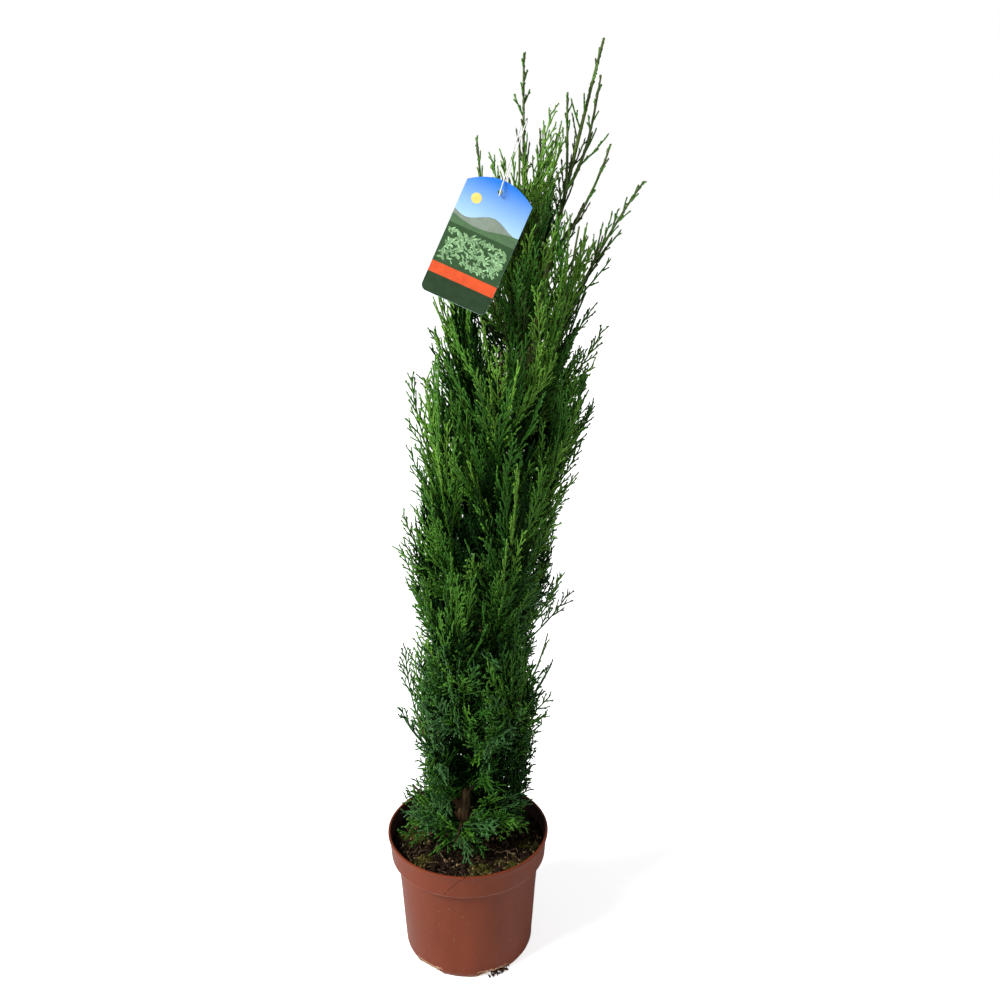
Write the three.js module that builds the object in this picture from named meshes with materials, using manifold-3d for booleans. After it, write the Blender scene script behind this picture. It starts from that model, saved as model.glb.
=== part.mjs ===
// Young Italian cypress in a plastic nursery pot, millimetres, +Z up.
// The origin is the centre of the pot's flat underside. +X is the side the leader leans to,
// and -Y is the side where the hang tag hangs.
//
// The tree is a trunk that runs whole to its tip, boughs that leave it in a spiral, and one
// foliage mass at the end of each bough. A mass is a three-sided stem that carries on the
// bough's own curve, with flat toothed sprays standing out of it. Every spray keeps to the
// space that is nearer to its own limb than to any other.

import * as THREE from 'three';
import { mergeVertices } from 'three/addons/utils/BufferGeometryUtils.js';
import Module from 'manifold-3d';

const wasm = await Module();
wasm.setup();

// ---------------------------------------------------------------- driving dimensions (mm)

const GAP = 0.3; // clearance between pieces that rest on each other
const ROUND_STEPS = 32; // facets round the pot and the soil

const POT_HEIGHT = 154;
const RIM_RADIUS = 95;
const BAND_HEIGHT = 30; // the wide band round the rim
const BAND_FOOT_RADIUS = 91.4;
const WALL_TOP_RADIUS = 84.4; // wall just under the band
const WALL_FOOT_RADIUS = 76.4;
const BASE_RADIUS = 73;
const POT_WALL = 2;
const FLOOR_DISC_RADIUS = 48; // the middle of the floor, which stands on the ground
const CHANNEL_HEIGHT = 6; // raised drainage channel round that disc
const NOTCHES = 6;
const NOTCH_WIDTH = 34;
const NOTCH_HEIGHT = 5;
const NOTCH_AZIMUTH = -64;
const DRAIN_SIZE = [8, 16]; // slot through the channel's floor at each notch
const FLOOR_THICKNESS = 2.4;

const SOIL_LEVEL = 137;
const SOIL_RELIEF = 2.5;
const SOIL_FLAT_RADIUS = 30; // level soil round the trunk

const TRUNK_TOP = 1017;
const TRUNK_FOOT_X = -7;
const TRUNK_LEAN = 0.067; // run per rise at the foot
const TRUNK_BEND = 1.09e-4; // extra run per rise squared
const TRUNK_SWAY = 3;
const TRUNK_FOOT_RADIUS = 7.6;
const TRUNK_TIP_RADIUS = 1.2;
const TRUNK_SIDES = 9;
const TRUNK_STEPS = 16;
const FLARE_RADIUS = 4;
const FLARE_HEIGHT = 11;

const CROWN_AXIS_LEAN = 0.02; // the crown's middle leans less than the trunk does
const CROWN_AXIS_BEND = 1.07e-4;
const CROWN_FOOT_REACH = 68;
const CROWN_REACH = 90;
const CROWN_FULL_HEIGHT = 420; // height at which the crown has its full reach
const CROWN_SHOULDER = 850; // height at which it begins to draw in
const CROWN_TOP = 1005;
const CROWN_CLOSE = 0.86; // share of the reach lost between shoulder and top
const LEADER_FOLIAGE = 26; // how far foliage stands from a leader outside the crown

const BOUGHS = 17;
const BOUGH_FOOT = 176;
const BOUGH_HEAD = 690;
const BOUGH_FIRST_AZIMUTH = -172;
const GOLDEN_ANGLE = 180 * (3 - Math.sqrt(5));
const BOUGH_RISE_FOOT = 125;
const BOUGH_RISE_HEAD = 235;
const BOUGH_TIP_SHARE = 0.73; // share of the crown's reach at which a limb ends
const BOUGH_SHARE = 0.27; // share of a limb that is bare bough
const SHORT_BOUGH_SHARE = 0.22; // the same on skirt limbs and leaders
const BOUGH_SIDES = 5;
const STEM_SIDES = 3;
const LIMB_STEPS = 3;
const LIMB_TO_TRUNK = 0.45; // a limb's radius at its foot to the trunk's there
const STEM_TIP_RADIUS = 0.9;
const LEAVE_OUTWARDS = 0.85; // run per rise where a limb leaves the trunk
const LEAVE_LENGTH = 0.3; // share of a limb that its outward start bends over
const ARRIVE_OUTWARDS = 0.55; // how much of its outward run a limb keeps at its tip
const ARRIVE_LENGTH = 0.33;
const LIMB_SAMPLES = 12;

const SPRAY_LENGTH = 140;
const SPRAY_SPREAD_FOOT = 50; // half the angle of the fan, at the foot of the crown
const SPRAY_SPREAD_HEAD = 17; // and at its head
const SPRAY_NOTCH = 0.6; // depth of the notches between fingers, as a share of their length
const SPRAY_PEAK = 0.12; // share of the length at which a spray is thickest
const SPRAY_ANGLE_MIN = 17; // angle between a spray and its stem
const SPRAY_ANGLE_FOOT = 76; // its most at the foot of the crown, where sprays spread
const SPRAY_ANGLE_HEAD = 44; // its most at the head, where they stand up
const SPRAY_SWING = 130; // how far round the stem a spray may stand from straight out
const SPRAY_THICKNESS = 3.2;
const SPRAY_TRIES = 170;
const SPRAY_SHRINK = 0.988; // each try is that much shorter
const CLEARANCE = 0.5; // kept between sprays and everything else
const SEED = 20;
// rounds is how often a limb tries to grow a spray, tipSpray the length of the one at its tip,
// and a free limb may leave the crown.
const SKIRT_GROWTH = { rounds: 12, spraySize: 0.62, tipSpray: 32, free: false };
const SPIRAL_GROWTH = { rounds: 25, spraySize: 1, tipSpray: 66, free: false };
const LEADER_GROWTH = { rounds: 12, spraySize: 0.6, tipSpray: 40, free: true };
const TIP_GROWTH = { rounds: 5, spraySize: 0.4, tipSpray: 32, free: true };

const TAG_WIDTH = 66;
const TAG_HEIGHT = 122;
const TAG_THICKNESS = 0.8;
const TAG_TOP_ARC = 12;
const TAG_CORNER = 6;
const TAG_HOLE_RADIUS = 2.5;
const TAG_HOLE_DROP = 11; // from the top of the arc to the hole's middle
const TAG_CENTRE = [18, -69, 833];
const TAG_LEAN_BACK = 14;
const TAG_TILT = 24;
const LOOP_RADIUS = 0.6;

// Limbs that leave the spiral: the skirt over the soil, the long leaders, and the short
// shoots round the tip of the trunk. foot is the height on the trunk.
const SKIRT = [
  { name: 'skirt_left', foot: 160, tip: [-66, 10, 205] },
  { name: 'skirt_front', foot: 158, tip: [-10, -52, 180] },
  { name: 'skirt_right', foot: 162, tip: [66, -14, 210] },
  { name: 'skirt_back', foot: 166, tip: [2, 66, 215] },
];
// leave and arrive replace the two outward shares of a limb that leans out to its tip.
const LEADERS = [
  { name: 'second_leader', foot: 660, tip: [60, -30, 1000] },
  { name: 'right_leader', foot: 640, tip: [179, -4, 888], leave: 0.45, arrive: 1.44 },
  { name: 'left_leader', foot: 700, tip: [15, 6, 929] },
];
const TIP_SHOOTS = [
  { name: 'tip_left', foot: 858, tip: [102, -12, 968] },
  { name: 'tip_right', foot: 880, tip: [135, 8, 985] },
  { name: 'tip_front', foot: 815, tip: [143, -22, 921] },
  { name: 'tip_back', foot: 800, tip: [78, 26, 936] },
];

// ---------------------------------------------------------------- small helpers

const rad = THREE.MathUtils.degToRad;
const lerp = THREE.MathUtils.lerp;
const smooth = THREE.MathUtils.smoothstep;
const UP = new THREE.Vector3(0, 0, 1);

function vec(x, y, z) {
  return new THREE.Vector3(x, y, z);
}

function randomFrom(seed) {
  let state = seed >>> 0;
  return () => {
    state = (state + 0x6d2b79f5) >>> 0;
    let t = Math.imul(state ^ (state >>> 15), state | 1);
    t ^= t + Math.imul(t ^ (t >>> 7), t | 61);
    return ((t ^ (t >>> 14)) >>> 0) / 4294967296;
  };
}

function plain(geometry) {
  const bare = geometry.clone();
  bare.deleteAttribute('normal');
  bare.deleteAttribute('uv');
  return mergeVertices(bare, 1e-4);
}

function toSolid(geometry) {
  const merged = plain(geometry);
  return new wasm.Manifold(new wasm.Mesh({
    numProp: 3,
    vertProperties: new Float32Array(merged.attributes.position.array),
    triVerts: new Uint32Array(merged.index.array),
  }));
}

function toGeometry(solid) {
  const mesh = solid.getMesh();
  const geometry = new THREE.BufferGeometry();
  geometry.setAttribute('position', new THREE.BufferAttribute(mesh.vertProperties, 3));
  geometry.setIndex(new THREE.BufferAttribute(mesh.triVerts, 1));
  geometry.computeVertexNormals();
  return geometry;
}

function addMesh(group, name, geometry, material) {
  const mesh = new THREE.Mesh(geometry, material);
  mesh.name = name;
  group.add(mesh);
}

// Lathe round Z from a profile of [radius, height] points.
function turned(profile) {
  const points = profile.map(([r, z]) => new THREE.Vector2(r, z));
  const lathe = new THREE.LatheGeometry(points, ROUND_STEPS);
  lathe.rotateX(Math.PI / 2);
  return lathe;
}

// ---------------------------------------------------------------- materials

const terracottaPlastic = new THREE.MeshStandardMaterial({ color: 0x8e4a35, roughness: 0.5 });
const peat = new THREE.MeshStandardMaterial({ color: 0x2b2015, roughness: 1 });
const bark = new THREE.MeshStandardMaterial({ color: 0x5d4635, roughness: 0.9 });
const youngBark = new THREE.MeshStandardMaterial({ color: 0x6a4a2e, roughness: 0.8 });
const foliage = new THREE.MeshStandardMaterial({ color: 0x2f6b22, roughness: 0.7 });
const printedCard = new THREE.MeshStandardMaterial({ color: 0x4f8fb8, roughness: 0.35 });
const whiteElastic = new THREE.MeshStandardMaterial({ color: 0xf2f2ee, roughness: 0.6 });

// ---------------------------------------------------------------- pot and soil

function potSolid() {
  const bandFoot = POT_HEIGHT - BAND_HEIGHT;
  const profile = [
    [0, 0],
    [FLOOR_DISC_RADIUS, 0],
    [FLOOR_DISC_RADIUS + 3, CHANNEL_HEIGHT],
    [BASE_RADIUS - 5, CHANNEL_HEIGHT],
    [BASE_RADIUS - 3.6, 0],
    [BASE_RADIUS, 0],
    [WALL_FOOT_RADIUS - 0.6, 5],
    [WALL_FOOT_RADIUS, 10],
    [WALL_TOP_RADIUS, bandFoot - 1],
    [BAND_FOOT_RADIUS, bandFoot],
    [RIM_RADIUS - 0.5, POT_HEIGHT - 4],
    [RIM_RADIUS, POT_HEIGHT - 2.5],
    [RIM_RADIUS - 0.4, POT_HEIGHT],
    [RIM_RADIUS - 2.6, POT_HEIGHT],
    [BAND_FOOT_RADIUS - POT_WALL, bandFoot + 2.5],
    [WALL_TOP_RADIUS - POT_WALL, bandFoot - 1.5],
    [WALL_FOOT_RADIUS - POT_WALL, 11],
    [WALL_FOOT_RADIUS - POT_WALL - 2, CHANNEL_HEIGHT + FLOOR_THICKNESS],
    [FLOOR_DISC_RADIUS + 5, CHANNEL_HEIGHT + FLOOR_THICKNESS],
    [FLOOR_DISC_RADIUS + 2, FLOOR_THICKNESS],
    [0, FLOOR_THICKNESS],
  ];
  let solid = toSolid(turned(profile));
  for (let i = 0; i < NOTCHES; i++) {
    const turn = rad(NOTCH_AZIMUTH + (360 / NOTCHES) * i);
    const notch = new THREE.BoxGeometry(14, NOTCH_WIDTH, NOTCH_HEIGHT * 2);
    notch.translate(BASE_RADIUS, 0, 0);
    notch.rotateZ(turn);
    solid = solid.subtract(toSolid(notch));
    const drain = new THREE.BoxGeometry(...DRAIN_SIZE, FLOOR_THICKNESS * 3);
    drain.translate(BASE_RADIUS - 13, 0, CHANNEL_HEIGHT + FLOOR_THICKNESS / 2);
    drain.rotateZ(turn);
    solid = solid.subtract(toSolid(drain));
  }
  return solid;
}

// Soil that fills the pot. Its top is uneven but flat where the trunk stands.
function soilGeometry() {
  const bandFoot = POT_HEIGHT - BAND_HEIGHT;
  const inside = POT_WALL + GAP + 0.2;
  const rimAtSoil = BAND_FOOT_RADIUS - inside + 1;
  const topRings = [rimAtSoil, 68, 42, 24];
  const profile = [
    [0, FLOOR_THICKNESS + GAP],
    [FLOOR_DISC_RADIUS + 1.4, FLOOR_THICKNESS + GAP],
    [FLOOR_DISC_RADIUS + 4.4, CHANNEL_HEIGHT + FLOOR_THICKNESS + GAP],
    [WALL_FOOT_RADIUS - inside - 2.2, CHANNEL_HEIGHT + FLOOR_THICKNESS + GAP],
    [WALL_FOOT_RADIUS - inside, 12],
    [WALL_TOP_RADIUS - inside, bandFoot - 1],
    [BAND_FOOT_RADIUS - inside, bandFoot + 3.2],
    ...topRings.map((r) => [r, SOIL_LEVEL]),
    [0, SOIL_LEVEL],
  ];
  const geometry = turned(profile);
  const position = geometry.attributes.position;
  for (let i = 0; i < position.count; i++) {
    const x = position.getX(i);
    const y = position.getY(i);
    const r = Math.hypot(x, y);
    if (position.getZ(i) > SOIL_LEVEL - GAP && r > SOIL_FLAT_RADIUS) {
      const wave = Math.sin(x * 0.11 + 1) * Math.cos(y * 0.13) + 0.5 * Math.sin((x - y) * 0.19);
      const share = smooth(r, SOIL_FLAT_RADIUS, SOIL_FLAT_RADIUS * 2);
      position.setZ(i, SOIL_LEVEL + SOIL_RELIEF * wave * share);
    }
  }
  return geometry;
}

// ---------------------------------------------------------------- trunk and limb curves

function trunkAt(z) {
  const rise = z - SOIL_LEVEL;
  const share = rise / (TRUNK_TOP - SOIL_LEVEL);
  const x = TRUNK_FOOT_X + TRUNK_LEAN * rise + TRUNK_BEND * rise * rise;
  return vec(x, TRUNK_SWAY * Math.sin(share * 7), z);
}

function trunkRadius(z) {
  const rise = z - SOIL_LEVEL;
  const left = Math.max(0, 1 - rise / (TRUNK_TOP - SOIL_LEVEL));
  const taper = TRUNK_TIP_RADIUS + (TRUNK_FOOT_RADIUS - TRUNK_TIP_RADIUS) * left ** 1.15;
  return taper + FLARE_RADIUS * Math.exp(-rise / FLARE_HEIGHT);
}

function crownAxis(z) {
  const rise = z - SOIL_LEVEL;
  return vec(CROWN_AXIS_LEAN * rise + CROWN_AXIS_BEND * rise * rise, 0, z);
}

function crownReach(z) {
  const low = lerp(CROWN_FOOT_REACH, CROWN_REACH, smooth(z, SOIL_LEVEL, CROWN_FULL_HEIGHT));
  return low * (1 - CROWN_CLOSE * smooth(z, CROWN_SHOULDER, CROWN_TOP));
}

// A limb leaves the trunk outwards and turns up to its tip.
function makeLimb(
  name, footHeight, tip, boughShare, leaveShare = LEAVE_OUTWARDS, arriveShare = ARRIVE_OUTWARDS,
) {
  const foot = trunkAt(footHeight);
  const span = tip.clone().sub(foot);
  const flat = vec(span.x, span.y, 0);
  const out = flat.clone().normalize();
  const length = span.length();
  const leave = out.clone().multiplyScalar(leaveShare).add(UP).normalize();
  const arrive = flat.clone().multiplyScalar(arriveShare).add(vec(0, 0, span.z)).normalize();
  const curve = new THREE.CubicBezierCurve3(
    foot,
    foot.clone().addScaledVector(leave, length * LEAVE_LENGTH),
    tip.clone().addScaledVector(arrive, -length * ARRIVE_LENGTH),
    tip,
  );
  const footRadius = LIMB_TO_TRUNK * trunkRadius(footHeight) + STEM_TIP_RADIUS;
  const limb = { name, curve, out, length, footRadius, boughShare };
  limb.samples = Array.from({ length: LIMB_SAMPLES + 1 }, (_, i) => curve.getPoint(i / LIMB_SAMPLES));
  return limb;
}

// The level direction across a limb.
function acrossOf(limb) {
  return vec(-limb.out.y, limb.out.x, 0);
}

function limbRadius(limb, t) {
  return lerp(limb.footRadius, STEM_TIP_RADIUS, t ** 0.8);
}

function spiralLimbs() {
  return Array.from({ length: BOUGHS }, (_, i) => {
    const share = i / (BOUGHS - 1);
    const foot = lerp(BOUGH_FOOT, BOUGH_HEAD, share ** 1.12);
    const top = foot + lerp(BOUGH_RISE_FOOT, BOUGH_RISE_HEAD, Math.sqrt(share));
    const azimuth = rad(BOUGH_FIRST_AZIMUTH + GOLDEN_ANGLE * i);
    const reach = crownReach(top) * BOUGH_TIP_SHARE;
    const tip = crownAxis(top).add(vec(reach * Math.cos(azimuth), reach * Math.sin(azimuth), 0));
    return makeLimb(`bough_${String(i + 1).padStart(2, '0')}`, foot, tip, BOUGH_SHARE);
  });
}

function namedLimbs(list, boughShare) {
  return list.map(({ name, foot, tip, leave, arrive }) =>
    makeLimb(name, foot, vec(...tip), boughShare, leave, arrive));
}

// Distance from a point to a limb's surface.
function gapTo(limb, point) {
  const line = new THREE.Line3();
  const near = new THREE.Vector3();
  let best = Infinity;
  for (let i = 0; i < LIMB_SAMPLES; i++) {
    line.set(limb.samples[i], limb.samples[i + 1]);
    const along = line.closestPointToPointParameter(point, true);
    line.at(along, near);
    best = Math.min(best, near.distanceTo(point) - limbRadius(limb, (i + along) / LIMB_SAMPLES));
  }
  return best;
}

// A cylinder bent along a curve between two shares of it, with its radius by share. A level
// one keeps its rings flat, for the trunk.
function bentCylinder(pointAt, radiusAt, [from, to], sides, steps, reference, level = false) {
  const geometry = new THREE.CylinderGeometry(1, 1, 1, sides, steps);
  const merged = plain(geometry);
  const position = merged.attributes.position;
  for (let i = 0; i < position.count; i++) {
    const t = lerp(from, to, position.getY(i) + 0.5);
    const ahead = level ? UP.clone() : pointAt(t + 0.004).sub(pointAt(t - 0.004)).normalize();
    const side = reference.clone().addScaledVector(ahead, -reference.dot(ahead)).normalize();
    const across = ahead.clone().cross(side);
    const radius = radiusAt(t);
    const place = pointAt(t);
    place.addScaledVector(side, position.getX(i) * radius);
    place.addScaledVector(across, -position.getZ(i) * radius);
    position.setXYZ(i, place.x, place.y, place.z);
  }
  return merged;
}

function trunkGeometry(extra) {
  const height = TRUNK_TOP - SOIL_LEVEL - GAP;
  // Steps crowd towards the foot, where the flare is.
  const heightAt = (t) => SOIL_LEVEL + GAP + height * (0.4 * t + 0.6 * t * t);
  const placeAt = (t) => trunkAt(heightAt(t));
  const radiusAt = (t) => trunkRadius(heightAt(t)) + extra;
  return bentCylinder(placeAt, radiusAt, [0, 1], TRUNK_SIDES, TRUNK_STEPS, vec(1, 0, 0), true);
}

function limbGeometry(limb, shares, sides) {
  const pointAt = (t) => limb.curve.getPoint(THREE.MathUtils.clamp(t, 0, 1));
  const radiusAt = (t) => limbRadius(limb, t);
  return bentCylinder(pointAt, radiusAt, shares, sides, LIMB_STEPS, acrossOf(limb));
}

// ---------------------------------------------------------------- sprays

// Outline of a flat spray along +X: pointed fingers that fan out of one root.
function sprayOutline(length, fingers, spread, random) {
  const points = [[0, 0]];
  const reachOf = (angle) => length * (1 - 0.42 * (angle / spread) ** 2 - 0.14 * random());
  const add = (angle, reach) => points.push([reach * Math.cos(angle), reach * Math.sin(angle)]);
  for (let k = 0; k < fingers; k++) {
    const angle = lerp(-spread, spread, k / (fingers - 1));
    const reach = reachOf(angle);
    if (k > 0) add(angle - spread / (fingers - 1), SPRAY_NOTCH * Math.min(reach, length));
    add(angle, reach);
  }
  return points;
}

// A spray's solid: a double pyramid whose waist is the outline and whose two peaks stand near
// the root, so it is thickest there and thins out to its tips.
function sprayGeometry(spray) {
  const sides = spray.outline.length;
  const geometry = plain(new THREE.SphereGeometry(1, sides, 2));
  const position = geometry.attributes.position;
  for (let i = 0; i < position.count; i++) {
    const height = position.getY(i);
    if (Math.abs(height) > 0.5) {
      position.setXYZ(i, spray.length * SPRAY_PEAK, 0, (height * SPRAY_THICKNESS) / 2);
    } else {
      const turn = Math.atan2(position.getZ(i), -position.getX(i)) / (2 * Math.PI);
      const [x, y] = spray.outline[(Math.round(turn * sides) + sides) % sides];
      position.setXYZ(i, x, y, 0);
    }
  }
  geometry.applyMatrix4(spray.frame);
  return geometry;
}

// The frame of a flat spray: X ahead from its root, Z as near the normal as that lets it.
function frameFrom(root, ahead, normal) {
  const across = normal.clone().cross(ahead).normalize();
  const flat = ahead.clone().cross(across).normalize();
  const frame = new THREE.Matrix4().makeBasis(ahead, across, flat);
  return frame.setPosition(root);
}

// ---------------------------------------------------------------- tag

const TAG_FRAME = new THREE.Matrix4()
  .makeTranslation(...TAG_CENTRE)
  .multiply(new THREE.Matrix4().makeRotationX(rad(90 - TAG_LEAN_BACK)))
  .multiply(new THREE.Matrix4().makeRotationZ(rad(-TAG_TILT)));
const TAG_FRAME_INVERSE = TAG_FRAME.clone().invert();
const TAG_HOLE_Y = TAG_HEIGHT / 2 - TAG_HOLE_DROP;

function tagGeometry() {
  const w = TAG_WIDTH / 2;
  const h = TAG_HEIGHT / 2;
  const c = TAG_CORNER;
  const shape = new THREE.Shape();
  shape.moveTo(-w + c, -h);
  shape.lineTo(w - c, -h);
  shape.quadraticCurveTo(w, -h, w, -h + c);
  shape.lineTo(w, h - TAG_TOP_ARC);
  shape.quadraticCurveTo(0, h + TAG_TOP_ARC, -w, h - TAG_TOP_ARC);
  shape.lineTo(-w, -h + c);
  shape.quadraticCurveTo(-w, -h, -w + c, -h);
  const hole = new THREE.Path();
  hole.absarc(0, TAG_HOLE_Y, TAG_HOLE_RADIUS, 0, Math.PI * 2, true);
  shape.holes.push(hole);
  const options = { depth: TAG_THICKNESS, bevelEnabled: false, curveSegments: 5 };
  const geometry = new THREE.ExtrudeGeometry(shape, options);
  geometry.translate(0, 0, -TAG_THICKNESS / 2);
  geometry.applyMatrix4(TAG_FRAME);
  return geometry;
}

function nearTag(point) {
  const local = point.clone().applyMatrix4(TAG_FRAME_INVERSE);
  const inside = Math.abs(local.x) < TAG_WIDTH / 2 + 3 && Math.abs(local.y) < TAG_HEIGHT / 2 + 8;
  return inside && local.z > -4;
}

// The elastic loop goes through the tag's hole and round the second leader.
function loopCurve(leader) {
  const hole = vec(0, TAG_HOLE_Y, 0).applyMatrix4(TAG_FRAME);
  const front = vec(0, TAG_HOLE_Y + 1, 4).applyMatrix4(TAG_FRAME);
  const behind = vec(0, TAG_HOLE_Y + 1, -4).applyMatrix4(TAG_FRAME);
  const height = hole.z + 38;
  const t = leader.samples.findIndex((p) => p.z > height) / LIMB_SAMPLES;
  const hold = leader.curve.getPoint(t);
  const wrap = limbRadius(leader, t) + LOOP_RADIUS + 1.2;
  const points = [
    hole.clone(),
    front,
    vec(hold.x - wrap, hold.y - 1, hold.z - 6),
    vec(hold.x - wrap * 0.8, hold.y + wrap, hold.z),
    vec(hold.x + wrap, hold.y + wrap * 0.8, hold.z + 1),
    vec(hold.x + wrap, hold.y - wrap, hold.z - 2),
    vec(hold.x, hold.y - wrap - 1.5, hold.z - 8),
    behind.clone().add(vec(2, 0, 3)),
  ];
  return new THREE.CatmullRomCurve3(points, true);
}

// ---------------------------------------------------------------- where a spray may grow

function insideCrown(point, limb) {
  const axis = crownAxis(point.z);
  const ratio = Math.hypot(point.x - axis.x, point.y - axis.y) / crownReach(point.z);
  if (ratio <= 1.04) return true;
  // Leaders reach past the crown, and their sprays keep close to them.
  return limb.free && gapTo(limb, point) < LEADER_FOLIAGE;
}

function clearOfPot(point) {
  if (point.z < SOIL_LEVEL + 5) return false;
  return point.z > POT_HEIGHT + 2 || Math.hypot(point.x, point.y) < BAND_FOOT_RADIUS - 7;
}

// A point belongs to the limb whose surface is nearest to it.
function inOwnSpace(point, limb, limbs) {
  const own = gapTo(limb, point);
  return limbs.every((other) => other === limb || gapTo(other, point) > own);
}

function mayGrow(spray, limb, limbs) {
  const tips = spray.outline.slice(1).map(([x, y]) => vec(x, y, 0).applyMatrix4(spray.frame));
  if (!tips.every((p) => clearOfPot(p) && !nearTag(p) && insideCrown(p, limb))) return false;
  const middles = [0.3, 0.6].map((s) => vec(spray.length * s, 0, 0).applyMatrix4(spray.frame));
  return middles.every((p) => inOwnSpace(p, limb, limbs));
}

function boxOf(solid) {
  const { min, max } = solid.boundingBox();
  return new THREE.Box3(vec(...min), vec(...max)).expandByScalar(CLEARANCE);
}

function isClear(solid, box, taken, ownStem) {
  return taken.every((other) => {
    if (other.solid === ownStem || !other.box.intersectsBox(box)) return true;
    return other.solid.minGap(solid, CLEARANCE * 2) >= CLEARANCE;
  });
}

// One spray by the seeded rule: it leaves the stem at the spray angle, on alternate sides, and
// is longest near the foot of the stem. It is skipped where it has no room.
function growSpray(limb, round, limbs, taken) {
  const { random } = limb;
  const lateral = acrossOf(limb);
  const side = round % 2 ? 1 : -1;
  for (let tries = 0; tries < SPRAY_TRIES; tries++) {
    const t = lerp(limb.boughShare + 0.03, limb.stemEnd, random());
    const place = limb.curve.getPoint(t);
    const ahead = limb.curve.getTangent(t);
    const outward = lateral.clone().cross(ahead).normalize();
    const onStem = (t - limb.boughShare) / (1 - limb.boughShare);
    const swing = rad(side * lerp(0, SPRAY_SWING, random()));
    const widest = lerp(SPRAY_ANGLE_FOOT, SPRAY_ANGLE_HEAD, place.z / TRUNK_TOP);
    const angle = rad(lerp(SPRAY_ANGLE_MIN, widest, random()) * (1 - 0.3 * onStem));
    const roll = rad(lerp(-80, 80, random()));
    const size = limb.spraySize * lerp(0.85, 1.15, random()) * (1.1 - 0.4 * onStem) * SPRAY_SHRINK ** tries;
    const off = outward.clone().multiplyScalar(Math.cos(swing)).addScaledVector(lateral, Math.sin(swing));
    const heading = ahead.clone().multiplyScalar(Math.cos(angle)).addScaledVector(off, Math.sin(angle));
    const face = outward.clone().applyAxisAngle(heading, roll);
    const spread = rad(lerp(SPRAY_SPREAD_FOOT, SPRAY_SPREAD_HEAD, place.z / TRUNK_TOP));
    const length = SPRAY_LENGTH * size;
    const outline = sprayOutline(length, size > 0.45 ? 5 : 3, spread, random);
    const root = place.clone().addScaledVector(heading, -limbRadius(limb, t) * 0.5 - 0.6);
    const spray = { outline, length, frame: frameFrom(root, heading, face) };
    if (!mayGrow(spray, limb, limbs)) continue;
    const solid = toSolid(sprayGeometry(spray));
    const box = boxOf(solid);
    if (!isClear(solid, box, taken, limb.stem)) continue;
    taken.push({ solid, box });
    limb.sprays.push(solid);
    return;
  }
}

// The stem ends in a spray of its own, straight ahead.
function growTip(limb, taken) {
  const ahead = limb.curve.getTangent(limb.stemEnd);
  const outline = sprayOutline(limb.tipSpray, 5, rad(20), limb.random);
  const root = limb.curve.getPoint(limb.stemEnd).addScaledVector(ahead, -2);
  const spray = { outline, length: limb.tipSpray, frame: frameFrom(root, ahead, limb.out) };
  const solid = toSolid(sprayGeometry(spray));
  taken.push({ solid, box: boxOf(solid) });
  limb.sprays.push(solid);
}

function stemSolid(limb, trunkCut) {
  const from = limb.boughShare > 0 ? limb.boughShare + GAP / limb.length : 0;
  const tube = toSolid(limbGeometry(limb, [from, limb.stemEnd], STEM_SIDES));
  return limb.boughShare > 0 ? tube : tube.subtract(trunkCut);
}

function boughSolid(limb, trunkCut) {
  const tube = toSolid(limbGeometry(limb, [0, limb.boughShare], BOUGH_SIDES));
  return tube.subtract(trunkCut);
}

// ---------------------------------------------------------------- the object

const cypress = new THREE.Group();
addMesh(cypress, 'pot', toGeometry(potSolid()), terracottaPlastic);
addMesh(cypress, 'soil', soilGeometry(), peat);
addMesh(cypress, 'trunk', trunkGeometry(0), bark);
addMesh(cypress, 'hang_tag', tagGeometry(), printedCard);

const skirt = namedLimbs(SKIRT, SHORT_BOUGH_SHARE);
const spiral = spiralLimbs();
const leaders = namedLimbs(LEADERS, SHORT_BOUGH_SHARE);
const tipShoots = namedLimbs(TIP_SHOOTS, 0);
skirt.forEach((limb) => Object.assign(limb, SKIRT_GROWTH));
spiral.forEach((limb) => Object.assign(limb, SPIRAL_GROWTH));
leaders.forEach((limb) => Object.assign(limb, LEADER_GROWTH));
tipShoots.forEach((limb) => Object.assign(limb, TIP_GROWTH));

const limbs = [...skirt, ...spiral, ...leaders, ...tipShoots];
const trunkCut = toSolid(trunkGeometry(GAP * 1.5));
const loop = loopCurve(leaders[0]);
const tagLoop = new THREE.TubeGeometry(loop, 34, LOOP_RADIUS, 4, true);
addMesh(cypress, 'tag_loop', tagLoop, whiteElastic);

const taken = [trunkCut, toSolid(tagLoop)].map((solid) => ({ solid, box: boxOf(solid) }));
limbs.forEach((limb, index) => {
  limb.random = randomFrom(SEED * 1000 + index);
  limb.stemEnd = 1 - limb.tipSpray / limb.length;
  limb.stem = stemSolid(limb, trunkCut);
  limb.sprays = [];
  taken.push({ solid: limb.stem, box: boxOf(limb.stem) });
  if (limb.boughShare > 0) {
    const bough = boughSolid(limb, trunkCut);
    taken.push({ solid: bough, box: boxOf(bough) });
    const name = limb.name.startsWith('bough') ? limb.name : `${limb.name}_bough`;
    addMesh(cypress, name, toGeometry(bough), youngBark);
  }
});
limbs.forEach((limb) => growTip(limb, taken));
for (let round = 0; round < SPIRAL_GROWTH.rounds; round++) {
  limbs.filter((limb) => round < limb.rounds).forEach((limb) => growSpray(limb, round, limbs, taken));
}
limbs.forEach((limb) => {
  const mass = wasm.Manifold.union([limb.stem, ...limb.sprays]).decompose();
  mass.sort((a, b) => b.volume() - a.volume());
  const name = limb.name.startsWith('bough') ? limb.name.replace('bough', 'mass') : `${limb.name}_mass`;
  addMesh(cypress, name, toGeometry(mass[0]), foliage);
});

export default cypress;
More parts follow.
